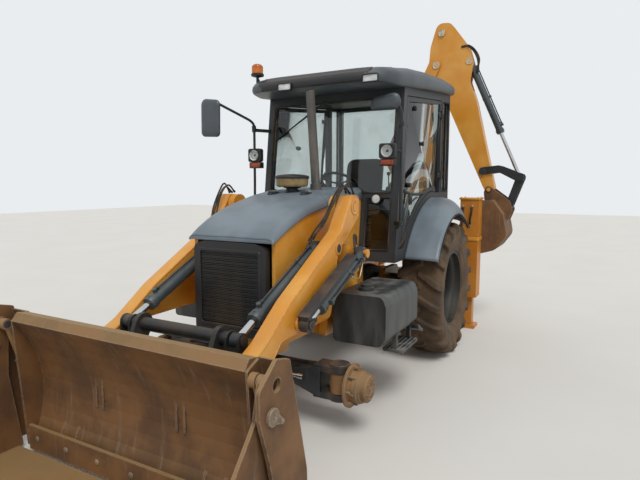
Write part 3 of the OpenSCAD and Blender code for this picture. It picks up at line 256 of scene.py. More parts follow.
def hexagon(centre, axis, across, height, washer=0.0):
    """A bolt head: six sides with a chamfered top, on a round washer."""
    r = across / math.sqrt(3)
    head = lathe([[0, r], [height * 0.85, r], [height, r * 0.84], [height, 0.0]], centre, axis, 6)
    if not washer:
        return head
    return join(head, lathe([[0, washer], [2.5, washer], [3.0, washer - 1]], centre, axis, 20))


# Pieces

def colour(text):
    """sRGB hex to linear red, green, blue and an alpha of 1: up to 0.04045 divided by 12.92, above it a
    power of 2.4."""
    c = np.array([int(text[i:i + 2], 16) for i in (1, 3, 5)]) / 255
    lin = np.where(c <= 0.04045, c / 12.92, ((c + 0.055) / 1.055) ** 2.4)
    return (*(float(k) for k in lin), 1.0)


def piece(name, shape, body, material, smooth=38, replaces=(), modifiers=()):
    """The shape as an object: millimetres on the machine's axes become metres in the frame, points that
    meet are merged, faces turned outwards, and edges sharper than smooth degrees kept sharp. A piece with
    no body stays without a parent."""
    v, blocks = shape
    mesh = bpy.data.meshes.new(name)
    mesh.from_pydata(((v - ORIGIN) / 1000).tolist(), [], [row for b in blocks for row in b.tolist()])
    work = bmesh.new()
    work.from_mesh(mesh)
    bmesh.ops.remove_doubles(work, verts=work.verts, dist=2e-5)
    bmesh.ops.recalc_face_normals(work, faces=work.faces)
    work.to_mesh(mesh)
    work.free()
    mesh.shade_smooth()
    mesh.set_sharp_from_angle(angle=math.radians(smooth))
    mesh.materials.append(material)
    obj = bpy.data.objects.new(name, mesh)
    bpy.context.scene.collection.objects.link(obj)
    for kind, values in modifiers:
        mod = obj.modifiers.new(kind.title(), kind)
        for key, value in values.items():
            setattr(mod, key, value)
    if body:
        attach(obj, body)
    if replaces:
        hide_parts(*replaces)
    return obj


# Finishes

def add(material, kind, values=None, **settings):
    """One node of that kind in the material: settings are its own properties, values its inputs by name or
    number, each a number, a colour or another node's output to link."""
    tree = material.node_tree
    node = tree.nodes.new("ShaderNode" + kind)
    for key, value in settings.items():
        setattr(node, key, value)
    for key, value in (values or {}).items():
        if isinstance(value, bpy.types.NodeSocket):
            tree.links.new(value, node.inputs[key])
        else:
            node.inputs[key].default_value = value
    return node


def blank(name):
    """A new material with one node, for the object's own coordinates, and those coordinates."""
    material = bpy.data.materials.new(name)
    material.use_nodes = True
    material.node_tree.nodes.clear()
    return material, add(material, "TexCoord").outputs["Object"]


def show(material, values):
    """A principled shader with these inputs, sent to the material's output."""
    bsdf = add(material, "BsdfPrincipled", values)
    add(material, "OutputMaterial", {"Surface": bsdf.outputs[0]})
    return material


def mixed(material, share, one, other):
    """Two colours mixed by a share, each a hex text or another node's output."""
    one, other = (colour(c) if isinstance(c, str) else c for c in (one, other))
    return add(material, "Mix", {0: share, 6: one, 7: other}, data_type="RGBA").outputs[2]


def band(material, value, low, high, to_low=0.0, to_high=1.0):
    """A value's part between low and high, spread smoothly from to_low to to_high."""
    return add(material, "MapRange", {0: value, 1: low, 2: high, 3: to_low, 4: to_high},
               interpolation_type="SMOOTHSTEP").outputs[0]


def grain(material, where, per_metre, detail=4.0, rough=0.55, stretch=(1, 1, 1)):
    """Noise of so many grains a metre, stretched along the axes."""
    turned = add(material, "Mapping", {"Vector": where, "Scale": stretch}).outputs[0]
    return add(material, "TexNoise", {"Vector": turned, "Scale": per_metre, "Detail": detail,
                                      "Roughness": rough}).outputs[0]


def times(material, one, other, operation="MULTIPLY"):
    """Two numbers worked together, by default multiplied."""
    return add(material, "Math", {0: one, 1: other}, operation=operation, use_clamp=True).outputs[0]


def worn_edge(material, radius=0.006):
    """Where the surface turns a corner within radius: one less the dot product of the true normal and the
    normal of a rounded corner."""
    soft = add(material, "Bevel", {"Radius": radius}, samples=4).outputs[0]
    true = add(material, "NewGeometry").outputs["True Normal"]
    same = add(material, "VectorMath", {0: soft, 1: true}, operation="DOT_PRODUCT").outputs["Value"]
    return band(material, same, 0.995, 0.90)


def lying(material, where):
    """How much the surface faces up, in its own coordinates, and how near it is to the ground: both gather
    dust."""
    normal = add(material, "TexCoord").outputs["Normal"]
    up = add(material, "SeparateXYZ", {0: normal}).outputs[2]
    high = add(material, "SeparateXYZ", {0: where}).outputs[2]
    return band(material, up, 0.15, 0.95), band(material, high, 1.3, 0.3)


def weathered(name, base, faded, rough, dust="#A98258", dusty=0.5, chip="#4A443E", chips=0.5,
              peel=0.12, coat=0.0):
    """Paint or plastic that has stood outside: cloudy fading 400 mm wide, dust on what faces up and what is
    low, chips up to 18 mm wide gathered at the edges, and a shallow bump of the sprayed or moulded skin,
    drawn as wide as the chips so that it shows."""
    m, where = blank(name)
    cloud = grain(m, where, 2.6, 5.0)
    fine = grain(m, where, 55.0, 6.0, 0.65)
    tint = mixed(m, band(m, cloud, 0.38, 0.66), base, faded)
    up, low = lying(m, where)
    streak = grain(m, where, 7.0, 5.0, 0.6, (1.0, 1.0, 0.22))
    film = times(m, times(m, times(m, up, 0.55), times(m, low, 0.6), "ADD"), band(m, streak, 0.36, 0.68))
    film = times(m, film, dusty)
    edge = worn_edge(m)
    lost = times(m, times(m, band(m, fine, 0.60, 0.66), band(m, cloud, 0.45, 0.70)), chips)
    lost = times(m, lost, times(m, times(m, edge, band(m, fine, 0.42, 0.58)), chips), "ADD")
    skin_tint = mixed(m, film, mixed(m, lost, tint, chip), dust)
    gloss = band(m, times(m, film, times(m, cloud, 0.35), "ADD"), 0.0, 1.0, rough, min(1.0, rough + 0.4))
    bump = add(m, "Bump", {"Strength": peel, "Distance": 0.002,
                           "Height": times(m, fine, times(m, lost, -0.4), "ADD")}).outputs[0]
    return show(m, {"Base Color": skin_tint, "Roughness": gloss, "Coat Weight": coat,
                    "Coat Roughness": 0.15, "Normal": bump})


# Two-coat polyurethane sprayed on steel plate: satin, faded in clouds, chipped to dark primer at the edges
ORANGE = weathered("sprayed_orange", "#D08A26", "#DA9C42", 0.36, dust="#B98A55", dusty=0.34,
                   chips=0.45, coat=0.15)
# Grey moulded polyester of the bonnet and fenders: pale with weather, a soft sheen
GREY = weathered("moulded_grey", "#616C74", "#707B83", 0.40, dust="#8B8579", dusty=0.20, chips=0.05,
                 peel=0.06, coat=0.10)
# Slate paint of the cylinder barrels
SLATE = weathered("cylinder_paint", "#343C40", "#434B4E", 0.38, dust="#86806F", dusty=0.22, chip="#7A7264",
                  chips=0.5, coat=0.1)
# Orange of the frame behind and the stabilisers, deeper than the arms as painted shade for the shade they
# stand in, and cleaner, with less dust
SHADED_FRAME_ORANGE = weathered("frame_orange", "#B8701A", "#C27E2A", 0.42, dust="#8A6038", dusty=0.16,
                 chips=0.4, coat=0.05)
# Black paint of the tank, pale with dust where it faces up
TANK = weathered("tank_paint", "#232628", "#2C2F31", 0.4, dust="#96938A", dusty=0.5, chips=0.2)
# The darker moulding of the roof and of the mirrors' shells
ROOF = weathered("roof_moulding", "#3B4146", "#464D52", 0.42, dust="#7A7468", dusty=0.18, chips=0.05,
                 peel=0.06, coat=0.10)
# Charcoal paint of the cab posts, pins and pipes: dull, rubbed to grey at the edges
CHARCOAL = weathered("charcoal_paint", "#282B2D", "#34373A", 0.46, dusty=0.28, chip="#6E675E", chips=0.30)
# Black paint and black moulded parts: deep, with a brown dust film on top
BLACK = weathered("black_paint", "#1B1C1D", "#252627", 0.42, dust="#6B5638", dusty=0.45,
                  chip="#4C443B", chips=0.25)
# Moulded polypropylene: black, faintly grained
PLASTIC = weathered("black_moulding", "#151617", "#202224", 0.52, dusty=0.45, chips=0.0, peel=0.30)
# Grey paint of the sill plates and small castings, scuffed by boots
SCUFFED = weathered("scuffed_grey", "#5D6164", "#7A7D7C", 0.55, dusty=0.55, chip="#9A948A", chips=0.8)
# Nearly black paint of the wheel rims under brown dust
RIM = weathered("rim_paint", "#161815", "#1F211E", 0.50, dust="#5A4A36", dusty=0.4,
                chip="#5B4A38", chips=0.5)


def earth_worn(name, bare, rust, dark, pale, metallic, rough, dusty=0.3):
    """Steel that digs: brown rust and dried earth in clouds 300 mm wide, long scratches down the plate,
    pale bare metal where the edges rub, and tan dust on what faces up."""
    m, where = blank(name)
    cloud = grain(m, where, 3.2, 6.0, 0.6)
    speck = grain(m, where, 40.0, 6.0, 0.7)
    scratch = grain(m, where, 26.0, 5.0, 0.6, (1.0, 0.35, 0.06))
    body = mixed(m, band(m, cloud, 0.36, 0.66), rust, dark)
    body = mixed(m, times(m, band(m, scratch, 0.50, 0.72), 0.30), body, pale)
    body = mixed(m, times(m, band(m, speck, 0.56, 0.70), 0.30), body, dark)
    edge = times(m, worn_edge(m, 0.012), band(m, speck, 0.35, 0.60))
    shine = times(m, edge, times(m, band(m, scratch, 0.60, 0.74), 0.35), "ADD")
    up, _ = lying(m, where)
    film = times(m, times(m, up, band(m, cloud, 0.20, 0.55, 0.5, 1.0)), dusty)
    skin_tint = mixed(m, film, mixed(m, shine, body, bare), "#9E8154")
    bump = add(m, "Bump", {"Strength": 0.35, "Distance": 0.003,
                           "Height": times(m, speck, times(m, scratch, 0.8), "ADD")}).outputs[0]
    metal, gloss = times(m, shine, metallic), band(m, cloud, 0.2, 0.8, rough, rough + 0.2)
    return show(m, {"Base Color": skin_tint, "Metallic": metal, "Roughness": gloss, "Normal": bump})


# Structural steel of the buckets, brown with dried earth and rubbed grey on its lips
WORN = earth_worn("dug_steel", "#9A8D7B", "#78532F", "#5A3E26", "#7E6344", 0.5, 0.58, 0.6)
# The same steel at the bolted edges and teeth, which the earth polishes
EDGE = earth_worn("polished_edge_steel", "#A79C8C", "#85735E", "#6B5846", "#A3937E", 0.6, 0.45)
# Cast iron of the bare hubs: orange rust and tan dust
RUSTY = earth_worn("rusted_iron", "#8C8071", "#8B673F", "#62482B", "#A98A60", 0.3, 0.70)
# Hot exhaust steel: grey scale above, brown rust low down
STACK = earth_worn("scaled_steel", "#77797A", "#625A52", "#4C4A47", "#857566", 0.4, 0.60)
# Cast iron of the engine under oil and dust
ENGINE = earth_worn("oily_iron", "#5A5A58", "#2C2B29", "#1E1D1C", "#6B5A44", 0.3, 0.55)


def plated(name, tint, rough, smear):
    """Hard chrome or zinc on a turned bar: a mirror with faint rings a millimetre apart, drawn at 6 mm, and
    smears of dust."""
    m, where = blank(name)
    ring = grain(m, where, 160.0, 2.0, 0.5)
    film = times(m, band(m, grain(m, where, 9.0, 5.0), 0.46, 0.66), smear)
    shade = mixed(m, film, tint, "#8E7A5E")
    gloss = band(m, times(m, film, times(m, ring, 0.1), "ADD"), 0.0, 1.0, rough, 0.6)
    return show(m, {"Base Color": shade, "Metallic": 1.0, "Roughness": gloss})


# Ground and chromed piston rods
CHROME = plated("hard_chrome", "#C9CCCD", 0.14, 0.25)
# Zinc-plated bolts, fittings and pipe sleeves, yellowed
ZINC = plated("zinc_plate", "#C4BCA6", 0.36, 0.6)


def rubber(name, base, dust, centre=None):
    """Black rubber with a bloom of dust. On a tyre the dust lies in the grooves, under 672 mm from the
    wheel's centre, and wears off the lugs."""
    m, where = blank(name)
    cloud = grain(m, where, 6.0, 6.0, 0.6)
    speck = grain(m, where, 90.0, 4.0, 0.7)
    share = times(m, band(m, cloud, 0.34, 0.68), 0.55)
    if centre is not None:
        off = add(m, "Mapping", {"Vector": where, "Location": [-c for c in centre], "Scale": (0, 1, 1)})
        far = add(m, "VectorMath", {0: off.outputs[0]}, operation="LENGTH").outputs["Value"]
        share = times(m, band(m, cloud, 0.25, 0.70, 0.20, 0.62), band(m, far, 0.698, 0.672, 0.55, 1.0))
    tint = mixed(m, share, base, mixed(m, speck, dust, "#7D6446"))
    bump = add(m, "Bump", {"Strength": 0.3, "Distance": 0.002, "Height": speck}).outputs[0]
    return show(m, {"Base Color": tint, "Roughness": 0.82, "Normal": bump})


# Natural rubber of the tyres, tan with laterite between the lugs; the rear axle's place in the frame
TYRE = rubber("tyre_rubber", "#14100D", "#70553A", (0.0, 1.235, 0.7))
# Synthetic rubber of hoses and seals
HOSE = rubber("hose_rubber", "#101010", "#3A342D")


def clear(name, tint, rough):
    """Safety glass or acrylic: clear, with a smear of dust that takes light where it lies."""
    m, where = blank(name)
    smear = times(m, band(m, grain(m, where, 5.0, 6.0, 0.65), 0.45, 0.75), 0.10)
    return show(m, {"Base Color": mixed(m, smear, tint, "#B9A88C"),
                    "Roughness": band(m, smear, 0.0, 0.4, rough, 0.25),
                    "Transmission Weight": 1.0, "IOR": 1.45})


# Tinted safety glass of the cab, faintly green
GLASS = clear("cab_glass_tint", "#DCE3E1", 0.0)
# Clear acrylic lamp lenses
LENS = clear("lamp_lens", "#F2F4F2", 0.05)


def tinted(name, base, deep, rough=0.35, through=0.0, ribs=0.0):
    """Coloured moulded plastic, deeper in clouds, with moulded ribs where asked: 18 gives ribs 17 mm apart
    and 14 gives 22 mm."""
    m, where = blank(name)
    cloud = grain(m, where, 14.0, 5.0)
    tint = mixed(m, band(m, cloud, 0.35, 0.65), base, deep)
    height = cloud
    if ribs:
        height = add(m, "TexWave", {"Vector": where, "Scale": ribs}, wave_type="BANDS",
                     bands_direction="X").outputs[1]
    bump = add(m, "Bump", {"Strength": 0.4, "Distance": 0.002, "Height": height}).outputs[0]
    return show(m, {"Base Color": tint, "Roughness": rough, "Transmission Weight": through, "Normal": bump})


# Polycarbonate of the pre-cleaner's bowl: amber, clouded with tan dust
BOWL = tinted("amber_bowl", "#9A8258", "#7C6640", 0.38)
# Acrylic of the indicators and of the beacon
AMBER = tinted("amber_lens", "#A4461B", "#762E12", 0.22, 0.12, 18.0)
BEACON = tinted("beacon_lens", "#E07A24", "#B5531A", 0.20, 0.25, 14.0)
# Vacuum-coated lamp reflectors and their white face
REFLECTOR = tinted("lamp_reflector", "#E6E8E6", "#C2C6C4", 0.18)


def woven(name, warp, weft, per_metre):
    """Seat cloth: warp and weft bands crossing, their threads 1 mm apart and drawn at 5 mm, darker where
    one dives under the other, with a soft sheen."""
    m, where = blank(name)
    one = add(m, "TexWave", {"Vector": where, "Scale": per_metre}, wave_type="BANDS",
              bands_direction="X").outputs[1]
    two = add(m, "TexWave", {"Vector": where, "Scale": per_metre}, wave_type="BANDS",
              bands_direction="DIAGONAL").outputs[1]
    cloud = grain(m, where, 9.0, 5.0)
    tint = mixed(m, times(m, one, two), mixed(m, cloud, warp, "#5A5148"), weft)
    bump = add(m, "Bump", {"Strength": 0.5, "Distance": 0.001,
                           "Height": times(m, one, two, "ADD")}).outputs[0]
    return show(m, {"Base Color": tint, "Roughness": 0.9, "Sheen Weight": 0.4, "Normal": bump})


# Polyester weave of the driver's seat
SEAT = woven("seat_cloth", "#2A2B2D", "#3C3E41", 60.0)

FINISH = {"orange_paint": ORANGE, "dark_paint": CHARCOAL, "black_paint": BLACK, "rod_chrome": CHROME,
          "worn_steel": WORN, "hub_iron": RUSTY, "tyre_rubber": TYRE, "rim_paint": RIM, "grey_paint": GREY,
          "engine_iron": ENGINE, "stack_steel": STACK, "bowl_plastic": BOWL, "pane_glass": GLASS,
          "seat_fabric": SEAT, "black_plastic": PLASTIC, "lamp_plastic": REFLECTOR}
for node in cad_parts.values():
    for place in node.material_slots:
        if place.material and place.material.name.split(".")[0] in FINISH:
            place.material = FINISH[place.material.name.split(".")[0]]
# The rear frame and stabilisers take the deeper orange, which is painted shade
for name, finish in (("safety_struts", CHARCOAL), ("jaw_rods", RUSTY), ("fuel_tank", TANK),
                     ("battery_box", TANK), ("rear_frame", SHADED_FRAME_ORANGE), ("stabiliser_left", SHADED_FRAME_ORANGE),
                     ("stabiliser_right", SHADED_FRAME_ORANGE), ("tilt_barrels", SLATE), ("lift_barrels", SLATE),
                     ("jaw_barrels", SLATE), ("boom_barrel", SLATE), ("dipper_barrel", SLATE),
                     ("digger_barrel", SLATE)):
    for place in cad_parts[name].material_slots:
        place.material = finish


# View, floor and light

def set_view():
    """The camera where the photograph was taken: its right, up and backward directions as columns, and its
    place in metres."""
    right = (0.878548665, 0.477652768, 0.000276736)
    up = (-0.05239395, 0.09579249, 0.99402147)
    back = (0.4747706, -0.87331073, 0.10918448)
    place = (2.13316, -4.10300, 1.79526)
    # The lens and the picture's width in pixels, and the sensor's width in millimetres
    focal, wide, sensor = 505.6145, 640, 36.0
    data = bpy.data.cameras.new("photo_view")
    data.sensor_fit, data.sensor_width = "HORIZONTAL", sensor
    data.lens = sensor * focal / wide
    data.clip_end = 200
    cam = bpy.data.objects.new("photo_view", data)
    bpy.context.scene.collection.objects.link(cam)
    turn = Matrix((right, up, back)).transposed().to_4x4()
    cam.matrix_world = Matrix.Translation(place) @ turn
    bpy.context.scene.camera = cam


def set_stage():
    """A pale floor 60 m wide, a pale sky, and soft light: an even sky and one broad sun from the front
    left."""
    m, where = blank("pale_floor")
    tint = mixed(m, grain(m, where, 0.8, 3.0), "#CFCBC4", "#D8D5CF")
    show(m, {"Base Color": tint, "Roughness": 0.95})
    mesh, far = bpy.data.meshes.new("floor"), 30
    mesh.from_pydata([(-far, -far, 0), (far, -far, 0), (far, far, 0), (-far, far, 0)], [], [(0, 1, 2, 3)])
    mesh.materials.append(m)
    floor = bpy.data.objects.new("floor", mesh)
    bpy.context.scene.collection.objects.link(floor)
    world = bpy.data.worlds.new("pale_sky")
    world.use_nodes = True
    world.node_tree.nodes.clear()
    path = add(world, "LightPath").outputs
    seen = times(world, times(world, path["Is Camera Ray"], path["Is Glossy Ray"], "MAXIMUM"),
                 path["Is Transmission Ray"], "MAXIMUM")
    light = add(world, "Background", {"Color": colour("#F2F5F8"), "Strength": 0.72})
    shown = add(world, "Background", {"Color": colour("#E9EDF0"), "Strength": 1.0})
    sky = add(world, "MixShader", {0: seen, 1: light.outputs[0], 2: shown.outputs[0]}).outputs[0]
    add(world, "OutputWorld", {"Surface": sky})
    bpy.context.scene.world = world
    data = bpy.data.lights.new("broad_sun", "SUN")
    data.energy, data.angle = 1.7, math.radians(24)
    sun = bpy.data.objects.new("broad_sun", data)
    bpy.context.scene.collection.objects.link(sun)
    sun.rotation_euler = (math.radians(32), math.radians(14), math.radians(20))
    bpy.context.scene.view_settings.view_transform = "Standard"


set_view()
set_stage()


# Wheels and hubs

def eased(x, low, high):
    """0 below low, 1 above high, and a smooth step between."""
    t = np.clip((x - low) / (high - low), 0, 1)
    return t * t * (3 - 2 * t)


def tyre_shape():
    """Grid of section by angle. The section is a smooth line from bead to bead. Each of 18 lugs a side
    stands 38 mm off it along a line that runs back 0.55 of a pitch from the middle to the shoulder, and
    fades down the side wall."""
    half = [[383, 150], [402, 176], [470, 202], [540, 212], [600, 208], [640, 190], [658, 155], [663, 80]]
    rows = np.array(half + [[664, 0]] + [[r, -x] for r, x in half[::-1]], float)
    sec = curve(np.c_[rows, np.zeros(len(rows))], 14.0)[:, :2]
    d = np.r_[0, np.cumsum(np.linalg.norm(np.diff(sec, axis=0), axis=1))]
    s = np.linspace(0, d[-1], 92)
    rad, x = np.interp(s, d, sec[:, 0]), np.interp(s, d, sec[:, 1])
    slope = unit(np.stack([np.gradient(rad), np.gradient(x)], -1))
    out = np.stack([-slope[:, 1], slope[:, 0]], -1)
    out *= np.sign((out * np.stack([rad - 520, x], -1)).sum(1))[:, None]
    turn = np.linspace(0, 2 * np.pi, 540, endpoint=False)
    pitch = np.pi / 9
    tall = np.zeros((len(s), len(turn)))
    for side in (1, -1):
        far = np.clip(side * x, 0, 215)[:, None]
        phase = (turn[None] / pitch - 0.55 * far / 215 + (0.5 if side > 0 else 0)) % 1
        off = np.abs(phase - 0.5) * pitch * 690
        width = 30 + 14 * far / 215
        near = eased((side * x)[:, None], -22, -10) * eased(rad[:, None], 560, 640)
        tall = np.maximum(tall, 38 * eased(width - off, -6, 9) * near)
    # Rings moulded on the side wall, and a bead line by the rim
    ring = sum(high * np.exp(-((rad - at) / wide) ** 2)
               for high, at, wide in ((3, 470, 5), (2.5, 520, 4), (3, 412, 5)))
    tall = tall + ring[:, None]
    r = rad[:, None] + out[:, :1] * tall
    w = x[:, None] + out[:, 1:] * tall
    inner = np.array([[383, -140], [450, -180], [560, -185], [620, -120], [628, 0], [620, 120], [560, 185],
                      [450, 180], [383, 140]], float)
    r = np.vstack([r, np.broadcast_to(inner[:, :1], (9, 540))])
    w = np.vstack([w, np.broadcast_to(inner[:, 1:], (9, 540))])
    p = np.stack([WHEEL_X + w, r * np.cos(turn), WHEEL_Z + r * np.sin(turn)], -1)
    return skin(p, loop=True)


def rim_shape():
    """The rim's barrel as a closed turned section with a rolled flange at each side, a dished disc with its
    weld bead, ten wheel nuts on their studs, and a hub cover with eight screws."""
    at, stud_at, out = (WHEEL_X, 0, WHEEL_Z), (WHEEL_X, 138, WHEEL_Z), (1, 0, 0)
    edge = [[168, 372], [169, 390], [164, 397], [157, 396], [152, 386], [134, 379.5], [112, 372],
            [96, 352], [60, 341]]
    back = [[60, 331], [92, 342], [108, 364], [136, 370]]
    barrel = edge + [[-a, r] for a, r in edge[::-1]] + [[-a, r] for a, r in back[::-1]] + back
    disc = [[-50, 336], [-38, 337], [-30, 318], [-14, 250], [-4, 205], [0, 180], [0, 92], [-14, 92],
            [-14, 182], [-20, 208], [-30, 252], [-50, 318]]
    t = np.linspace(0, 2 * np.pi, 8, False)
    bead = np.stack([-38 + 7 * np.cos(t), 332 + 7 * np.sin(t)], -1)
    nut = join(hexagon(stud_at, out, 30, 22, 24), lathe([[20, 9], [34, 9], [36, 7], [36, 0]],
                                                        stud_at, out, 14))
    cover = lathe([[2, 0], [2, 106], [8, 110], [20, 110], [26, 104], [26, 88], [60, 84], [72, 76], [76, 60],
                   [76, 0]], at, out, 60)
    screws = round_about(hexagon((WHEEL_X + 26, 97, WHEEL_Z), out, 14, 8, 10), np.array(at), out, 8)
    return join(lathe(barrel, at, out, 120, closed=True), lathe(disc, at, out, 96, closed=True),
                lathe(bead, at, out, 96, closed=True),
                round_about(nut, np.array(at), out, 10), cover, screws)


def front_hub():
    """The bare hub: a wheel flange with a raised rim, a ribbed drum and a planet cover, turned about x,
    with eight long studs, nuts on three of them, six cover bolts, a plug and six ribs."""
    at, out = np.array([0, FRONT_Y, HUB_Z]), (1, 0, 0)
    body = [[856, 46], [856, 150], [860, 157], [875, 158], [880, 152], [881, 122], [886, 114], [905, 111],
            [930, 112], [933, 117], [945, 117], [949, 111], [962, 109], [967, 100], [999, 97], [1007, 90],
            [1009, 44], [1004, 40], [1003, 0]]
    stud = lathe(np.stack([np.linspace(868, 914, 24), 9 + 0.7 * np.cos(np.arange(24) * np.pi)], -1).tolist()
                 + [[915, 0]], at + [0, 135, 0], out, 14)
    nuts = join(*(hexagon(at + [880, 135 * math.cos(a), 135 * math.sin(a)], out, 27, 17, 17)
                  for a in np.radians([0, 90, 225])))
    bolts = round_about(hexagon(at + [1007, 70, 0], out, 16, 8, 11), at, out, 6, 0.3)
    plug = hexagon(at + [1000, 0, 0], out, 24, 12)
    points, faces = slab(oblong(884, 930, 104, 121, 5), -5, 5, "x", 1.5)
    rib = (points[:, [1, 2, 0]] + at, faces)
    return join(lathe(body, at, out, 72), round_about(stud, at, out, 8), nuts, bolts, plug,
                round_about(rib, at, out, 6, 0.2))


tyre, rim, hub = tyre_shape(), rim_shape(), front_hub()
# The tyre a little smaller, so that its lugs end 700 mm from the wheel's middle
TYRE_FIT, WHEEL_AT = [1, 0.9971, 0.9971], [0, 0, WHEEL_Z]
tyre = ((tyre[0] - WHEEL_AT) * TYRE_FIT + WHEEL_AT, tyre[1])
piece("tyre_left", tyre, "wheel_left", TYRE, 30, ["rear_tyre_left"])
piece("tyre_right", flipped(tyre), "wheel_right", TYRE, 30, ["rear_tyre_right"])
piece("rim_left", rim, "wheel_left", RIM, 35, ["rear_rim_left"])
piece("rim_right", flipped(rim), "wheel_right", RIM, 35, ["rear_rim_right"])
# Both hubs lean with their spindles, 1 degree down to their ends, about the middle of the kingpin
lean, king = math.radians(1), np.array([KINGPIN_X, FRONT_Y, HUB_Z])
turn_y = np.array([[math.cos(lean), 0, -math.sin(lean)], [0, 1, 0], [math.sin(lean), 0, math.cos(lean)]])
hub = ((hub[0] - king) @ turn_y + king, hub[1])
piece("bare_hub_left", hub, "hub_left", RUSTY, 35, ["hub_left"])
piece("bare_hub_right", flipped(hub), "hub_right", RUSTY, 35, ["hub_right"])


def tie_rod_shape():
    """The tie rod: a tube with a turned taper at each end, a lock nut and a ball joint's housing."""
    y, z = -2000, 318
    end = [[540, 20], [560, 20], [566, 24], [600, 24], [606, 19], [650, 16], [690, 15], [736, 17]]
    rod = lathe([[0, 20]] + end + [[738, 0]], (0, y, z), (1, 0, 0), 24)
    ball = lathe([[-20, 20], [-16, 30], [4, 34], [14, 30], [20, 20], [20, 14.2], [-20, 14.2]],
                 (KINGPIN_X, y, z), (0, 0, 1), 32, closed=True)
    return both(join(rod, hexagon((606, y, z), (1, 0, 0), 40, 18), ball))


piece("tie_rod_dressed", tie_rod_shape(), "tie_rod", CHARCOAL, 35, ["tie_rod"])


def axle_details():
    """On each kingpin housing a bolted cover with a grease nipple, a web and a rib on the beam, and before
    the beam the steering cylinder with its feet and two ports."""
    y = FRONT_Y
    cap = join(lathe([[508, 74], [516, 74], [520, 70], [522, 40], [522, 0]], (KINGPIN_X, y, 0), (0, 0, 1),
                     40), round_about(hexagon((KINGPIN_X + 52, y, 516), (0, 0, 1), 15, 9, 11),
                                      np.array([KINGPIN_X, y, 0]), (0, 0, 1), 5, 0.3),
               lathe([[520, 5], [532, 5], [534, 3], [536, 4], [539, 0]], (KINGPIN_X, y, 0), (0, 0, 1), 10))
    web = slab(outline([[430, 330, 20], [600, 276, 10], [648, 276, 5], [648, 488, 5], [600, 488, 10],
                        [430, 456, 20]]), y - 82, y - 62, "y", 4)
    rib = slab(outline([[150, 470, 6], [560, 500, 10], [640, 500, 4], [640, 462, 4], [150, 462, 4]]),
               y - 9, y + 9, "y", 3)
    cylinder = lathe([[0, 38], [235, 38], [238, 43], [262, 43], [266, 38], [266, 0]],
                     (0, y - 112, 412), (1, 0, 0), 40)
    feet = block(180, 230, y - 150, y - 60, 372, 455, 8)
    port = lathe([[0, 11], [26, 11], [26, 14], [38, 14], [38, 0]], (205, y - 112, 446), (0, 0, 1), 16)
    return both(join(cap, web, rib, cylinder, feet, port))


piece("axle_details", axle_details(), "machine", CHARCOAL, 35)
piece("steering_rods",
      both(lathe([[262, 16], [480, 16], [484, 22], [530, 22], [534, 0]], (0, FRONT_Y - 112, 412), (1, 0, 0),
                 24)), "machine", CHROME)
piece("axle_hoses",
      both(hose([[205, -2292, 486], [215, -2270, 560], [235, -2220, 610], [262, -2120, 640],
                 [275, -2000, 660]], 9)), "machine", HOSE)


# Cab

def front_y(z):
    """The slanted front of the cab: 126 mm back for each metre up."""
    return -1000 + 0.126 * (np.asarray(z, float) - 1080)


def top_z(y):
    """The roof's underside: 100 mm up for each metre back."""
    return 2760 + 0.10 * np.asarray(y, float)


# Where the slanted front meets the roof's underside
CAB_TOP = 2680.16
# Angles round the wheel in degrees, and how far outside its radius the fender's inner edge lies
FENDER_EDGE = ([40, 55, 66, 75, 85, 98, 117, 135, 155], [200, 228, 262, 280, 258, 205, 152, 132, 128])


def door_outline(g):
    """Outline of the door in y and z, inset by g: its front edge along the slanted post, its top under the
    roof, its rear edge upright, and its lower rear corner on an arc round the wheel, 60 mm outside the
    fender's edge."""
    sill = 1190 + g
    a = np.linspace(75, 141.5, 14)
    r = 760 + np.interp(a, *FENDER_EDGE) + g
    arc = np.stack([r * np.cos(np.radians(a)), WHEEL_Z + r * np.sin(np.radians(a))], -1)
    arc[:, 1] = np.maximum(arc[:, 1], sill)
    front_top = front_y(CAB_TOP) + 75
    return np.vstack([[[front_y(sill) + 80 + g, sill], [front_top + g, top_z(front_top) - 70 - g],
                       [440 - g, top_z(440) - 70 - g]], arc])


def door_shape():
    """The door's frame: a flat ring 45 mm wide inside its outline, the sagging rail across it, two hinges
    with their bolts, a lock case with its handle, and a stay."""
    outer, inner = door_outline(6), door_outline(51)
    ring = frame_ring(outer, inner, 705, 739, "x", 4)
    t = np.linspace(0, 1, 26)
    sag = np.stack([-772 + 1002 * t, 1738 + 30 * t - 190 * t * (1 - t) * (1 - 0.35 * t)
                    - 14 * np.sin(np.pi * t)], -1)
    rail = tube(np.c_[np.full(26, 731.0), sag], 15, 14)
    hinges = []
    for z in (1870, 2540):
        hinges += [lathe([[z + 1, 9.4], [z + 59, 9.4]], (750, 440, 0), (0, 0, 1), 24),
                   slab(outline([[330, z + 4, 12], [330, z + 56, 12], [446, z + 56, 6], [446, z + 4, 6]]),
                        736, 747, "x", 3), many(hexagon((747, 0, 0), (1, 0, 0), 13, 6, 9),
                                                [[0, 352, z + 30], [0, 392, z + 30]])]
    lock = join(slab(outline([[-640, 1600, 14], [-640, 1700, 14], [-560, 1700, 14], [-560, 1600, 14]]), 737,
                     752, "x", 5),
                tube(curve([[745, -625, 1625], [766, -615, 1632], [768, -570, 1650], [768, -470, 1665],
                            [752, -455, 1668]], 10), 8, 12))
    stay = tube(curve([[700, 380, 2380], [692, 330, 2250], [688, 300, 2120]], 30), 9, 12)
    return join(ring, rail, *hinges, lock, stay)


def glass_buttons():
    """The clamps that hold the pane: a domed black button outside and a nut inside, at three places."""
    one = join(lathe([[724, 0], [724, 20], [738, 24], [746, 24], [752, 18], [754, 0]], (0, 0, 0), (1, 0, 0),
                     28), hexagon((718, 0, 0), (-1, 0, 0), 20, 9))
    return many(one, [[0, -481, 2531], [0, -225, 2209], [0, -622, 1790]])


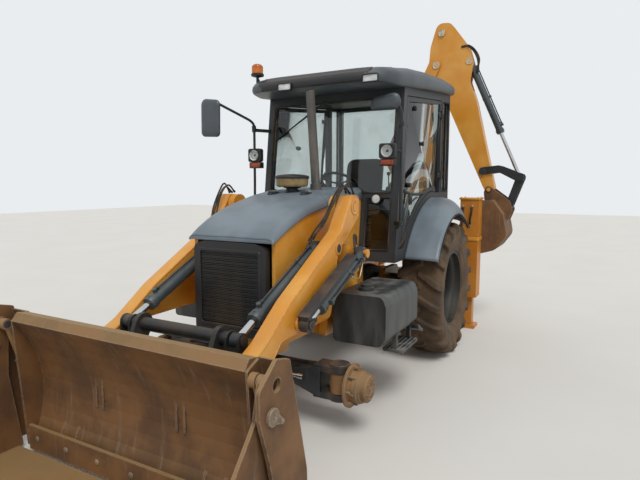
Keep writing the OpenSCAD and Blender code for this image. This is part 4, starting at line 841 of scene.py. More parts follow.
frame_door, buttons = door_shape(), glass_buttons()
pane_door = slab(door_outline(40), 718, 724, "x", 1)
for side, turned in (("left", lambda s: s), ("right", flipped)):
    piece(f"door_frame_{side}", turned(frame_door), f"door_{side}", BLACK,
          35, [f"door_{side}"])
    piece(f"door_pane_{side}", turned(pane_door), f"door_{side}", GLASS, 30)
    piece(f"door_buttons_{side}", turned(buttons), f"door_{side}", PLASTIC, 35)


def on_screen(x, z, off):
    """A point that lies off in front of the windscreen's glass, which is 25 mm behind the slanted front."""
    return [x, float(front_y(z)) + 25 - off, z]


def wiper_shape():
    """The wiper: a motor boss below the screen's top edge, an arm, and a blade with its spine."""
    boss = lathe([[-6, 24], [14, 24], [22, 16], [24, 0]], on_screen(-95, 2600, 4), (0, -1, 0.126), 24)
    arm = tube(curve([on_screen(-95, 2600, 24), on_screen(-240, 2500, 30),
                      on_screen(-372, 2424, 22)], 25), 9, 10)
    blade = tube(curve([on_screen(-180, 2560, 12), on_screen(-370, 2425, 17),
                        on_screen(-640, 2255, 10)], 30), 6.5, 8)
    spine = tube(curve([on_screen(-230, 2526, 20), on_screen(-372, 2424, 26),
                        on_screen(-560, 2308, 18)], 25), 5, 8)
    return join(boss, arm, blade, spine)


piece("wiper", wiper_shape(), "machine", PLASTIC, 35)


def seal(path, r=9):
    """A round rubber seal along a closed path."""
    p = np.asarray(path, float)
    t = unit(np.roll(p, -1, 0) - np.roll(p, 1, 0))
    flat = np.linalg.svd(p - p.mean(0), full_matrices=True)[2][2]
    a = unit(np.cross(t, flat))
    k = np.linspace(0, 2 * np.pi, 8, endpoint=False)[None, :, None]
    return skin(p[:, None] + r * (np.cos(k) * a[:, None] + np.sin(k) * flat), loop=True)


def seals():
    """Rubber round the windscreen, the two low panes and the side quarter panes."""
    screen = oblong(-668, 668, 1717, 2593, 40, 6)
    screen = np.stack([screen[:, 0], front_y(screen[:, 1]) - 1, screen[:, 1]], -1)
    low = oblong(423, 667, 1187, 1673, 25, 5)
    low = np.stack([low[:, 0], front_y(low[:, 1]) - 1, low[:, 1]], -1)
    quarter = outline([[508, 1718, 25], [508, 2724, 25], [762, 2749, 25], [762, 1718, 25]])
    quarter = np.stack([np.full(len(quarter), 740.0), quarter[:, 0], quarter[:, 1]], -1)
    return join(seal(screen), *(seal(p * [s, 1, 1], 8) for p in (low, quarter) for s in (1, -1)))


piece("window_seals", seals(), "machine", HOSE, 50)


def shell(pts, axis, base, depth, steps=9, power=0.55):
    """A domed shell: the outline shrinks towards its middle by the cosine of an angle while it rises by its
    sine, flatter in the middle as power falls."""
    pts = np.asarray(pts, float)
    mid = pts.mean(0)
    t = np.linspace(0, np.pi / 2, steps)[:, None, None]
    rows = mid + (pts[None] - mid) * np.maximum(np.cos(t) ** power, 0.02)
    return skin(stand(rows, base + depth * np.sin(t[:, :, 0]), axis))


def mirror_heads():
    """Two mirror shells, domed forwards, each with its rim, its ball clamp and its glass behind. The left
    one is folded in."""
    left = outline([[500, 2452, 40], [512, 2566, 50], [760, 2604, 60], [792, 2506, 50], [752, 2450, 40]], 6)
    right = outline([[-1160, 2268, 42], [-934, 2256, 42], [-926, 2610, 55], [-1154, 2640, 55]], 6)
    parts, panes = [], []
    for pts, y, clamp in ((left, -1034, (748, -1020, 2490)), (right, -1394, (-1040, -1380, 2560))):
        parts += [shell(pts, "y", y, -36), slab(pts, y - 2, y + 8, "y", 3),
                  lathe([[0, 17], [22, 20], [30, 14], [32, 0]], clamp, (0, -1, 0), 20)]
        panes.append(slab(drawn_in(pts, 9), y + 8.5, y + 10, "y", 0.5))
    return join(*parts), join(*panes)


def mirror_arms():
    """The mirror poles: grab rails up the front posts, held by clamps with two bolts, and an arm from each
    to its head, the right one reaching forwards and out, with a collar below its bend."""
    rail = tube(curve([[752, -1000, 1400], [778, -1010, 1430], [790, -1010, 1500], [790, -1010, 1900],
                       [790, -1010, 2360], [786, -1010, 2420], [768, -1012, 2480],
                       [748, -1014, 2500]], 40), 13, 14)
    far = tube(curve([[-760, -1000, 1470], [-800, -1010, 1500], [-800, -1010, 1900], [-800, -1010, 2330],
                      [-802, -1016, 2400], [-818, -1050, 2440], [-860, -1120, 2478], [-970, -1290, 2566],
                      [-1022, -1366, 2606], [-1038, -1384, 2604], [-1040, -1386, 2560]], 30), 13, 14)
    clamps = []
    for x, zs in ((790, (1446, 2330)), (-800, (1518, 2350))):
        for z in zs:
            s = math.copysign(1, x)
            clamps += [lathe([[z - 20, 21], [z - 18, 23], [z + 18, 23], [z + 20, 21]], (x, -1010, 0),
                             (0, 0, 1), 20),
                       slab([[x - 12 * s, -1010], [x + 12 * s, -1010], [738 * s, float(front_y(z))],
                             [706 * s, float(front_y(z))]], z - 16, z + 16, "z", 3),
                       many(hexagon((x, -1032, 0), (0, -1, 0), 13, 7), [[0, 0, z - 9], [0, 0, z + 9]])]
    knuckle = lathe([[-24, 19], [-22, 22], [22, 22], [24, 19]], (-801, -1012, 2370), (0, -0.1, 1), 20)
    return join(rail, far, *clamps, knuckle)


heads, faces = mirror_heads()
piece("mirror_arms", mirror_arms(), "machine", BLACK, 35, ["mirrors"])
piece("mirror_shells", heads, "machine", ROOF, 40)
piece("mirror_faces", faces, "machine", CHROME, 30)


def work_lamp(x, z):
    """One work lamp facing forwards: a square case with fins at its back, and a bezel about a round
    lens."""
    case = oblong(x - 74, x + 74, z - 66, z + 66, 20, 5)
    fins = many(slab(oblong(x - 60, x + 60, z - 3, z + 3, 2), -1092, -1072, "y", 1),
                [[0, 0, k] for k in range(-45, 46, 15)])
    return join(slab(case, -1132, -1090, "y", 8),
                frame_ring(case, oblong(x - 62, x + 62, z - 54, z + 54, 52, 5), -1150, -1130, "y", 3), fins)


def lamps():
    """The cases, reflectors, lenses and indicators of the two work lamps, with their brackets."""
    x, z = 706, 2086
    case = both(work_lamp(x, z))
    bracket = both(join(tube(curve([[x + 30, -1078, z + 6], [x + 70, -1050, z + 4], [790, -1012, z + 2]],
                                   15), 10, 10), slab(oblong(x - 68, x + 68, 1958, 2018, 8),
                                                      -1138, -1078, "y", 3)))
    bowl = both(lathe([[0, 4], [6, 30], [20, 48], [26, 52], [24, 52], [4, 30], [0, 0]],
                      (x, -1130, z), (0, -1, 0), 40))
    lens = both(lathe([[0, 53], [4, 53], [9, 44], [12, 24], [13, 0]], (x, -1140, z), (0, -1, 0), 40))
    amber = both(shell(oblong(x - 62, x + 62, 1964, 2012, 10, 4), "y", -1137, -14, 7, 0.35))
    return join(case, bracket), bowl, lens, amber


case, bowl, lens, amber = lamps()
piece("lamp_cases", case, "machine", PLASTIC, 35, ["lamps"])
piece("lamp_bowls", bowl, "machine", REFLECTOR, 50)
piece("lamp_lenses", lens, "machine", LENS, 50)
piece("indicators", amber, "machine", AMBER, 50)


def roof_front():
    """Two oblong lamps in bezels in the roof's front edge."""
    cases, panes = [], []
    for x in (-256, 600):
        z = 2690
        cases += [frame_ring(oblong(x - 75, x + 75, z - 36, z + 36, 14),
                             oblong(x - 66, x + 66, z - 27, z + 27, 8), -1294, -1262, "y", 3)]
        panes += [slab(oblong(x - 66, x + 66, z - 27, z + 27, 8), -1284, -1276, "y", 2)]
    return join(*cases), join(*panes)


roof_cases, roof_panes = roof_front()
piece("roof_lamp_cases", roof_cases, "machine", PLASTIC, 35)
piece("roof_lamp_panes", roof_panes, "machine", REFLECTOR, 35)


def beacon():
    """The beacon: a stalk with its foot and nut, a black base and a ribbed amber dome."""
    x, y = -686, -1100
    foot = join(lathe([[2740, 26], [2772, 26], [2776, 16], [2800, 14], [2848, 14], [2852, 30], [2862, 62],
                       [2880, 64], [2884, 58], [2884, 0]], (x, y, 0), (0, 0, 1), 40),
                slab(oblong(y - 30, y + 30, 2742, 2760, 5), x - 40, x + 40, "x", 3),
                hexagon((x + 14, y, 2820), (1, 0, 0), 16, 10))
    t = np.linspace(0, np.pi / 2, 10)
    wall = [[2882, 0], [2882, 55]] + [[z, 55 + 1.2 * (k % 2)]
                                      for k, z in enumerate(np.linspace(2886, 2948, 16))]
    dome = wall + np.stack([2950 + 30 * np.sin(t), 54 * np.cos(t)], -1).tolist()
    return foot, lathe(dome, (x, y, 0), (0, 0, 1), 40)


foot, dome = beacon()
piece("beacon_base", foot, "machine", PLASTIC, 35)
piece("beacon_dome", dome, "machine", BEACON, 40)


def powered(w, e):
    """The size of w to the power e, with the sign of w."""
    return np.sign(w) * np.abs(w) ** e


def cushion(x0, x1, y0, y1, z0, z1, crown):
    """A crowned cushion on a grid of longitude by latitude: a box whose sides follow low powers of cosine
    and sine, pulled in between its corners, raised by crown in its middle and sunk 5 mm along two seams."""
    u = np.linspace(0, 2 * np.pi, 64, endpoint=False)[None]
    v = np.linspace(-np.pi / 2, np.pi / 2, 30)[:, None]
    a = powered(np.cos(v), 0.35) * powered(np.cos(u), 0.38)
    b = powered(np.cos(v), 0.35) * powered(np.sin(u), 0.38)
    c = powered(np.sin(v), 0.5) + 0 * u
    pull = 1 - 0.035 * (1 - (a * b) ** 2)
    lift = crown * (1 - a * a) * (1 - b * b) * (c > 0)
    seam = 5 * np.exp(-((np.abs(a) - 0.55) / 0.04) ** 2) * (c > 0.3)
    p = np.stack([(x0 + x1) / 2 + (x1 - x0) / 2 * a * pull, (y0 + y1) / 2 + (y1 - y0) / 2 * b * pull,
                  (z0 + z1) / 2 + (z1 - z0) / 2 * c + lift - seam], -1)
    return skin(p)


def seat_shapes():
    """The driver's seat: a crowned cushion, a back that is the same form stood up and leaned 8 degrees, and
    piping round the cushion."""
    base = cushion(-236, 236, -520, -24, 1462, 1572, 16)
    v, f = cushion(-226, 226, 1575 - 2080, 0, -45, 45, 16)
    lean = math.radians(8)
    y, z = v[:, 2], v[:, 1]
    back = (np.stack([v[:, 0], -44 - y * math.cos(lean) + (z + 505) * math.sin(lean),
                      1590 + (z + 505) * math.cos(lean) - y * math.sin(lean)], -1), f)
    t = np.linspace(0, 2 * np.pi, 72, endpoint=False)
    pipe = seal(np.stack([228 * powered(np.cos(t), 0.38), -272 + 240 * powered(np.sin(t), 0.38),
                          np.full(72, 1521.0)], -1), 5)
    return base, back, pipe


base, back, pipe = seat_shapes()
pad = piece("seat_cushion", base, "machine", SEAT, 60, ["operator_seat"])
rest = piece("seat_back", back, "machine", SEAT, 60)
piece("seat_piping", pipe, "machine", HOSE, 60)


def seat_base():
    """Below the cushion a rubber bellows in nine folds and its tray, and an arm rest at each side."""
    k = np.arange(18)
    folds = np.stack([np.linspace(1130, 1440, 18), 165 + 14 * (k % 2)], -1)
    bellows = lathe(np.vstack([[[1121, 0], [1121, 170]], folds, [[1455, 180], [1462, 0]]]),
                    (0, -250, 0), (0, 0, 1), 48)
    rests = both(join(block(238, 290, -330, -60, 1690, 1735, 14),
                      tube(curve([[262, -70, 1600], [262, -70, 1650], [262, -80, 1695]], 20), 14, 10)))
    return join(bellows, rests, block(-190, 190, -470, -40, 1448, 1466, 6))


def wheel_and_levers():
    """The steering wheel on its column, a side console with two loader levers, and a rear tower with two
    digger levers, each with a knob."""
    hub_at, axis = np.array([0, -640, 1800]), unit([0, 0.5736, 0.8192])
    t = np.linspace(0, 2 * np.pi, 14, endpoint=False)
    ring = lathe(np.stack([14 * np.cos(t), 190 + 14 * np.sin(t)], -1), hub_at, axis, 72, closed=True)
    boss = lathe([[-150, 27], [-30, 30], [-10, 40], [6, 44], [14, 34], [16, 0]], hub_at, axis, 32)
    ways = [np.cos(a) * np.array([1, 0, 0]) + np.sin(a) * np.cross(axis, [1, 0, 0])
            for a in np.radians([90, 210, 330])]
    spokes = [tube(curve([hub_at + 30 * d, hub_at + 110 * d - 8 * axis, hub_at + 180 * d], 20), 9,
                   10) for d in ways]
    column = slab(outline([[-840, 1120, 10], [-800, 1500, 60], [-790, 1700, 40], [-700, 1700, 50],
                           [-690, 1400, 60], [-690, 1120, 10]]), -90, 90, "x", 14)
    knob = lathe([[0, 6], [18, 8], [26, 20], [44, 24], [60, 18], [66, 0]], (0, 0, 0), (0, 0, 1), 20)

    def stick(a, b):
        bent = ((np.array(a) + b) / 2 + [0, 6, 0]).tolist()
        return join(tube(curve([a, bent, b], 30), 7, 10), many(knob, [b]))

    console = block(-420, -260, -560, 120, 1120, 1560, 16)
    levers = [stick([-340, -420, 1560], [-330, -440, 1760]), stick([-340, -330, 1560], [-350, -330, 1740]),
              stick([-150, 380, 1500], [-160, 340, 1880]), stick([150, 380, 1500], [160, 340, 1880])]
    tower = block(-230, 230, 340, 470, 1120, 1500, 16)
    return join(ring, boss, *spokes, column, console, *levers, tower)


piece("seat_frame", seat_base(), "machine", PLASTIC, 35)
piece("driver_controls", wheel_and_levers(), "machine", PLASTIC, 35, ["controls"])


# Loader: its pins as y and z

ARM_PIN, LIFT_TOP, LIFT_FOOT = (-1700, 1620), (-2570, 890), (-1720, 1260)
TILT_FOOT, TILT_TOP, LEVER_PIN = (-1980, 1320), (-2964, 857), (-2979, 560)
JAW_PIN, JAW_ARM = (-3550, 765), (-3503, 896)


def pin(at, axis, lo, hi, r, rim=3.0):
    """A turned pin along the x or the y axis, its ends chamfered."""
    way, centre = ((1, 0, 0), (0, *at)) if axis == "x" else ((0, 1, 0), (at[0], 0, at[1]))
    return lathe([[lo, 0], [lo, r - rim], [lo + rim, r], [hi - rim, r], [hi, r - rim],
                  [hi, 0]], centre, way, 36)


def pin_head(at, axis, base, out, towards, r=30, reach=62, tall=14):
    """A pin's head: a chamfered disc with a sunk middle and a grease nipple, and a tongue that one bolt
    holds, so that the pin can't turn."""
    way = np.array((1, 0, 0) if axis == "x" else (0, 1, 0)) * out
    far = np.add(at, unit(np.subtract(towards, at)) * reach)
    lo, hi = sorted((base, base + 0.6 * tall * out))
    foot, far_foot = stand(np.array([at, far]), [base, base + 0.6 * tall * out], axis)
    head = lathe([[0, 0], [0, r], [tall - 3, r], [tall, r - 3], [tall, r * 0.45], [tall - 3, r * 0.4],
                  [tall - 3, 0]], foot, way, 32)
    nipple = lathe([[tall - 4, 5], [tall + 1, 5], [tall + 2, 3], [tall + 5, 4], [tall + 7, 2],
                    [tall + 7, 0]], foot, way, 10)
    return join(slab(bar(at, far, r * 0.8, 15), lo, hi, axis, 2), head, nipple,
                hexagon(far_foot, way, 19, 0.6 * tall, 14))


ARM_SIDE = outline([[-1602, 1702, 50], [-1745, 1716, 70], [-1942, 1444, 110], [-2660, 1050, 400],
                    [-2935, 852, 160], [-3060, 792, 80], [-3110, 690, 120], [-3205, 352, 40],
                    [-3195, 252, 50], [-3105, 262, 50], [-2915, 540, 120], [-2850, 735, 60],
                    [-2770, 818, 60], [-2105, 822, 60], [-1985, 1290, 150], [-1612, 1545, 50]], 6)


def arm_shape():
    """A loader arm: its outline in y and z carried across 110 mm with rounded rims, a weld bead 8 mm inside
    its edge, and the bosses that its pins pass through."""
    plate = slab(ARM_SIDE, 545, 655, "x", 5, 4)
    beads = [seal(stand(drawn_in(ARM_SIDE, 8), x, "x"), 3) for x in (655.5, 544.5)]
    ring = lathe([[654, 37], [660, 37], [662, 40], [662, 60], [659, 64], [654, 64]], (0, *ARM_PIN),
                 (1, 0, 0), 48, closed=True)
    bosses = [pin(TILT_FOOT, "x", 512, 546, 50), pin(LEVER_PIN, "x", 511, 546, 45),
              pin(LIFT_TOP, "x", 654, 675, 46, 5), pin(TILT_FOOT, "x", 650, 660, 52, 3),
              pin(LEVER_PIN, "x", 650, 660, 50, 3)]
    return join(plate, *beads, ring, *bosses)


def arm_pins():
    """The pins that the arms carry for the tilt cylinders and the levers, each with a disc at its inner
    end, and on the outer face a disc for the first and a locked head for the second."""
    return join(pin(TILT_FOOT, "x", 399, 412, 37), pin(TILT_FOOT, "x", 404, 547, 25),
                pin(LEVER_PIN, "x", 385, 397, 37), pin(LEVER_PIN, "x", 389, 547, 25),
                pin(TILT_FOOT, "x", 655, 661, 34, 2), pin_head(LEVER_PIN, "x", 660, 1, (-2990, 700)))


def cylinder_trim(a, b, gland, r, side, band_at):
    """What a cylinder's barrel carries: a gland nut with six lugs, a square port block near each end, a
    steel pipe between them that lies 5 mm off the barrel with a nut at each end, and a band clamp with its
    saddle."""
    a, b = np.array(a, float), np.array(b, float)
    u, s = unit(b - a), unit(side)

    def on(d, out):
        return a + u * d + s * out

    nut = lathe([[gland - 46, r + 5], [gland - 44, r + 7], [gland + 2, r + 7], [gland + 9, r + 3],
                 [gland + 13, r + 1], [gland + 13, r * 0.62]], a, u, 40)
    lugs = round_about(lathe([[0, 9], [5, 9], [6, 8], [6, 0]], a + u * (gland - 20)
                             + s * (r + 6), s, 4), a, u, 6)
    ports = [lathe([[r - 8, 22], [r + 24, 22], [r + 28, 18], [r + 28, 0]], on(d, 0), s, 4)
             for d in (gland - 82, 92)]
    pipe = tube(np.linspace(on(104, r + 13), on(gland - 94, r + 13), 12), 8, 12)
    nuts = [lathe([[d, 8], [d, 13], [d + 20, 13], [d + 20, 8]], s * (r + 13) + a, u, 6, closed=True)
            for d in (112, gland - 122)]
    clamp = lathe([[band_at - 13, r + 0.5], [band_at - 13, r + 3.5], [band_at + 13, r + 3.5],
                   [band_at + 13, r + 0.5]], a, u, 40, closed=True)
    saddle = lathe([[r, 17], [r + 26, 17], [r + 28, 14], [r + 28, 0]], on(band_at, 0), s, 4)
    return join(nut, lugs, *ports, clamp, saddle), join(pipe, *nuts)


def dress(name, body, a, b, gland, r, side, band_at, pair):
    """Puts the trim on a barrel, or on the barrels of both sides."""
    steel, pipe = cylinder_trim(a, b, gland, r, side, band_at)
    steel, pipe = (both(steel), both(pipe)) if pair else (steel, pipe)
    piece(name + "_trim", steel, body, SLATE, 35)
    piece(name + "_pipes", pipe, body, CHARCOAL, 40)


piece("arms_dressed", both(arm_shape()), "arms", ORANGE, 35, ["loader_arms"])
piece("arm_pins", both(arm_pins()), "arms", CHARCOAL, 35)
dress("tilt_cylinder", "tilt_barrels", (462, *TILT_FOOT), (462, *TILT_TOP), 888, 45,
      (0, -0.426, 0.905), 290, True)
dress("lift_cylinder", "lift_barrels", (720, *LIFT_FOOT), (720, *LIFT_TOP), 740, 45, (1, 0, 0), 300, True)
piece("tilt_eye_pins", both(pin(TILT_TOP, "x", 424, 488, 24.5)), "tilt_rods", CHARCOAL, 35)
piece("lift_eye_pins",
      both(join(pin(LIFT_TOP, "x", 677, 751, 24.5), pin_head(LIFT_TOP, "x", 749, 1, LIFT_FOOT))),
      "lift_rods", CHARCOAL, 35)
piece("jaw_eye_pins", both(pin(JAW_ARM, "x", 968, 1008, 24.5)), "jaw_rods", CHARCOAL, 35)


def arm_hoses():
    """Three hoses over each arm's pivot, from the tower down to the tilt cylinder's foot, each on its own
    way."""
    ways = ([[560, -1655, 1728], [566, -1740, 1790], [556, -1850, 1716], [528, -1952, 1560],
             [486, -2040, 1452], [452, -2076, 1372]], [[592, -1652, 1724], [584, -1762, 1776],
                                                       [566, -1884, 1668], [540, -1990, 1506],
                                                       [500, -2066, 1420], [468, -2092, 1362]],
            [[622, -1650, 1720], [618, -1726, 1804], [596, -1822, 1744], [560, -1960, 1584],
             [520, -2018, 1476], [484, -2068, 1388]])
    return join(*(hose(w, 7.5) for w in ways))


piece("arm_hoses", both(arm_hoses()), "arms", HOSE, 50)


def eye_sleeves(at, x, half, r):
    """A bushed ring over a rod's eye, 1.5 mm proud of it all round."""
    return lathe([[x - half, 24.6], [x - half, r], [x + half, r], [x + half, 24.6]], (0, *at),
                 (1, 0, 0), 40, closed=True)


piece("tilt_eye_sleeves", both(eye_sleeves(TILT_TOP, 462, 26.5, 46.5)), "tilt_rods",
      CHARCOAL, 35)
piece("lift_eye_sleeves", both(eye_sleeves(LIFT_TOP, 720, 29.5, 49.5)), "lift_rods",
      CHARCOAL, 35)


def lift_hoses():
    """A hose that loops from the lift cylinder's bracket to the port on its barrel, and the wire bail of
    its lock pin."""
    loop = hose([[650, -1655, 1300], [668, -1700, 1382], [700, -1800, 1402], [742, -1880, 1340],
                 [752, -1886, 1262], [748, -1850, 1216]], 11)
    bail = seal(curve([[774, -1795, 1217], [778, -1900, 1176], [780, -2003, 1123], [778, -1935, 1098],
                       [776, -1866, 1093], [774, -1820, 1150]], 14)[:-1], 5)
    return loop, bail


loop, bail = lift_hoses()
piece("lift_hoses", both(loop), "lift_barrels", HOSE, 50)
piece("lock_bails", both(bail), "lift_barrels", ZINC, 50)


# Bucket

def edge_strip():
    """The bolted cutting edge of the jaw: its wedge in y and z carried across, bare where it cuts."""
    wedge = np.array([[-4299, 8], [-4299, 14.5], [-4145, 28], [-4060, 29], [-4058, 26],
                      [-4145, 2], [-4250, 2]])
    strip = slab(wedge, -1039, 1039, "x", 0.8)
    bolts = many(lathe([[0, 0], [0, 17], [3, 17], [5, 12], [5, 0]], (0, -4100, 27.5), (0, 0, 1), 18),
                 [[x, 0, 0] for x in range(-960, 961, 240)])
    return join(strip, bolts)


def blade_bolts():
    """Seven plow bolts along the blade's bolted edge, 294 mm apart but for the last, each a low domed
    head."""
    head = lathe([[0, 0], [0, 19], [3, 19], [6, 15], [8, 7], [8, 0]], (0, -3435.5, 121), (0, -1, 0), 20)
    return many(head, [[x, 0, 0] for x in (-838, -544, -250, 44, 338, 632, 880)])


piece("jaw_edge", edge_strip(), "jaw", EDGE, 30)
piece("blade_bolts", blade_bolts(), "bucket", EDGE, 35)
piece("jaw_pivot_caps", both(pin_head(JAW_PIN, "x", 1106, 1, (-3450, 700), 43, 82, 16)), "bucket",
      EDGE, 35)
piece("recess_hoses",
      both(join(*(hose([[1036 + k, -3262, 560], [1044 + k, -3290, 470], [1040 + k, -3330, 380],
                        [1027 + 0.4 * k, -3330, 330]], 8) for k in (0, 26)))), "bucket", HOSE,
      50)


# Bonnet and what stands on it

def grille_mesh():
    """The grille's screen: wires 12 mm apart both ways in front of its slats, in a flat rim."""
    up = many(tube([[0, -2447, 764], [0, -2447, 1036], [0, -2447, 1308]], 3.4, 6),
              [[x, 0, 0] for x in range(-252, 253, 12)])
    level = many(tube([[-262, -2451, 0], [0, -2451, 0], [262, -2451, 0]], 3.4, 6),
                 [[0, 0, z] for z in range(776, 1305, 12)])
    rim = frame_ring(oblong(-285, 285, 742, 1328, 24), oblong(-262, 262, 765, 1305, 12),
                     -2464, -2452, "y", 3)
    return join(up, level, rim)


piece("grille_mesh", grille_mesh(), "machine", BLACK, 35)


def cleaner_shapes():
    """The pre-cleaner turned about an upright axis: a clamped neck, a clear amber bowl that holds dust, and
    a domed black lid with a rolled rim."""
    at = (-45, -1500, 0)
    pipe = lathe([[1340, 50], [1762, 50], [1764, 66], [1776, 88], [1780, 88], [1780, 0]], at, (0, 0, 1), 48)
    clamp = lathe([[1735, 51], [1735, 55], [1757, 55], [1757, 51]], at, (0, 0, 1), 48, closed=True)
    neck = join(pipe, clamp, hexagon((-45, -1557, 1746), (0, -1, 0), 13, 14))
    bowl = lathe([[1776, 84], [1774, 116], [1776, 130], [1784, 139], [1800, 142], [1845, 145], [1850, 146],
                  [1850, 0]], at, (0, 0, 1), 64)
    lid = lathe([[1848, 144], [1846, 149], [1850, 153], [1862, 153], [1868, 149], [1876, 128], [1882, 84],
                 [1886, 34], [1887, 30], [1887, 0]], at, (0, 0, 1), 64)
    return join(neck, lid), bowl


lid, amber_bowl = cleaner_shapes()
piece("cleaner_lid", lid, "machine", PLASTIC, 30, ["pre_cleaner"])
piece("cleaner_bowl", amber_bowl, "machine", BOWL, 40)


def stack_clamp():
    """A band round the exhaust stack with its square lug and its bolt."""
    ring = lathe([[1700, 52], [1700, 57], [1728, 57], [1728, 52]], (86, -1300, 0),
                 (0, 0, 1), 48, closed=True)
    lug = lathe([[0, 13], [26, 13], [28, 10], [28, 0]], (86, -1356, 1714), (0, -1, 0), 4)
    return join(ring, lug, hexagon((86, -1384, 1714), (0, -1, 0), 13, 9))


piece("stack_clamp", stack_clamp(), "machine", ZINC, 35)


def firewall_lamp():
    """A round lamp beside the bonnet: a turned housing and a domed white lens."""
    at, way = (524, -918, 1659), (0, -1, 0.126)
    case = lathe([[-12, 0], [-12, 34], [4, 46], [20, 48], [24, 45], [24, 38]], at, way, 36)
    return case, lathe([[22, 40], [26, 38], [32, 22], [34, 0]], at, way, 36)


housing, lens_cap = firewall_lamp()
piece("firewall_lamp_housing", housing, "machine", PLASTIC, 35)
piece("firewall_lamp_lens", lens_cap, "machine", REFLECTOR, 40)


# Fenders, tank and stabilisers

def fender_bead():
    """A rubber bead round each fender's lip: a circle of 9 mm radius carried round the wheel."""
    a = np.radians(np.linspace(151, 51, 60))
    return both(tube(np.stack([np.full(60, 1064.0), 786 * np.cos(a),
                               WHEEL_Z + 786 * np.sin(a)], -1), 9, 10))


piece("fender_beads", fender_bead(), "machine", HOSE, 50)


def step_treads():
    """Ribs on the steps: bars of 3.5 mm radius along them, 34 mm apart."""
    rib = tube([[0, -1630, 493], [0, -1440, 493], [0, -1250, 493]], 3.5, 8)
    return both(many(rib, [[x, 0, 0] for x in range(898, 1040, 34)]))


piece("step_treads", step_treads(), "machine", SCUFFED, 50)


def column_trim():
    """On each stabiliser column a cap plate with four bolts, a collar half way, and two hoses down its
    front face with their elbows."""
    corners = [[x, y, 0] for x in (870, 1070) for y in (990, 1190)]
    cap = join(slab(oblong(845, 1095, 966, 1212, 12), 1612, 1634, "z", 4),
               many(hexagon((0, 0, 1634), (0, 0, 1), 17, 9, 13), corners))
    collar = frame_ring(oblong(850, 1090, 970, 1210, 10), oblong(859, 1081, 979, 1201, 4),
                        1108, 1152, "z", 4)
    hoses = join(hose([[897, 974, 1530], [899, 946, 1440], [893, 944, 1300], [896, 970, 1176]], 11),
                 hose([[1007, 974, 1532], [1004, 944, 1460], [990, 944, 1370], [984, 970, 1303]], 11))
    elbows = join(*(lathe([[0, 15], [24, 15], [28, 11], [28, 0]], (x, 981, z), (0, -1, 0), 6)
                    for x, z in ((897, 1530), (1007, 1532), (896, 1172), (984, 1300))))
    return both(join(cap, collar)), both(hoses), both(elbows)


column_cap, column_hoses, column_elbows = column_trim()
piece("column_caps", column_cap, "machine", ORANGE, 35)
piece("column_hoses", column_hoses, "machine", HOSE, 50)
piece("column_elbows", column_elbows, "machine", ZINC, 35)


# Backhoe: its pins as x and z in the plane y = 1550

BOOM_FOOT, BOOM_TOP = (-560, 1080), (-140, 1978)
DIPPER_FOOT, DIPPER_PIN, DIPPER_TOP = (-290, 2200), (378, 3359), (439, 3766)
DIGGER_FOOT, GUIDE_PIN, DIGGER_TOP = (803, 3373), (1021, 1957), (1473, 1868)
DIGGER_PIN = (1109, 1731)
MID = 1550


def in_plane(at, y=MID):
    """A point of the backhoe's plane in space."""
    return (at[0], y, at[1])


def heads(at, off, r=42, tall=9):
    """A pin's heads on both faces, off from the middle plane: a disc with a raised rim and a nut in its
    middle."""
    parts = []
    for s in (1, -1):
        foot, way = np.array(in_plane(at, MID + s * off)), (0, s, 0)
        parts += [lathe([[0, 0], [0, r], [tall - 2, r], [tall, r - 2], [tall, r - 7], [tall - 3, r - 9],
                         [tall - 3, 0]], foot, way, 40),
                  lathe([[tall - 4, 15], [tall + 1, 15], [tall + 1, 0]], foot, way, 6)]
    return join(*parts)


dress("boom_cylinder", "boom_barrel", in_plane(BOOM_FOOT), in_plane(BOOM_TOP), 790, 50,
      (-0.906, 0, 0.424), 420, False)
dress("dipper_cylinder", "dipper_barrel", in_plane(DIPPER_FOOT), in_plane(DIPPER_TOP), 1000, 48,
      (-0.907, 0, 0.422), 480, False)
dress("digger_cylinder", "digger_barrel", in_plane(DIGGER_FOOT), in_plane(DIGGER_TOP), 1000, 42,
      (0.914, 0, 0.407), 520, False)
piece("boom_eye_pin", pin(BOOM_TOP, "y", MID - 44, MID + 44, 24.5), "boom_rod", CHARCOAL, 35)
piece("dipper_eye_pin", pin(DIPPER_TOP, "y", MID - 55, MID + 55, 24.5), "dipper_rod",
      CHARCOAL, 35)
piece("digger_eye_pin", pin(DIGGER_TOP, "y", MID - 49, MID + 49, 24.5), "digger_rod",
      CHARCOAL, 35)
piece("boom_pin_heads", heads(DIPPER_PIN, 100, 46, 10), "boom", ZINC, 35)
piece("dipper_pin_heads", join(heads(DIGGER_FOOT, 75, 44), heads(DIPPER_TOP, 83, 46)), "dipper",
      ZINC, 35)
piece("dark_pin_heads", join(heads(GUIDE_PIN, 98, 40), heads(DIGGER_PIN, 124, 34)), "dipper",
      CHARCOAL, 35)


def run_of_pipes(points, y, clamps):
    """Two steel pipes side by side over a face, 30 mm apart, and the blocks that clamp them."""
    p = curve([[x, y, z] for x, z in points], 30)
    t = unit(np.gradient(p, axis=0))
    off = np.stack([t[:, 2], 0 * t[:, 0], -t[:, 0]], -1) * 15
    blocks = []
    for share in clamps:
        c, d, e = (v[int(share * (len(p) - 1))] for v in (p, t, off))
        corners = [c + a * e / 15 * 30 + b * d * 13 for a, b in ((1, 1), (-1, 1), (-1, -1), (1, -1))]
        blocks.append(slab(outline([[q[0], q[2], 5] for q in corners], 3), y - 11, y + 11, "y", 2))
    return join(tube(p + off, 8, 12), tube(p - off, 8, 12), *blocks)


def joint_hoses(places, name):
    """Hoses that cross a joint: each bends from the piece on one side to the piece on the other."""
    shape = join(*(hose(points, 12) for points in places))
    obj = piece(name, shape, None, HOSE, 50)
    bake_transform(obj)


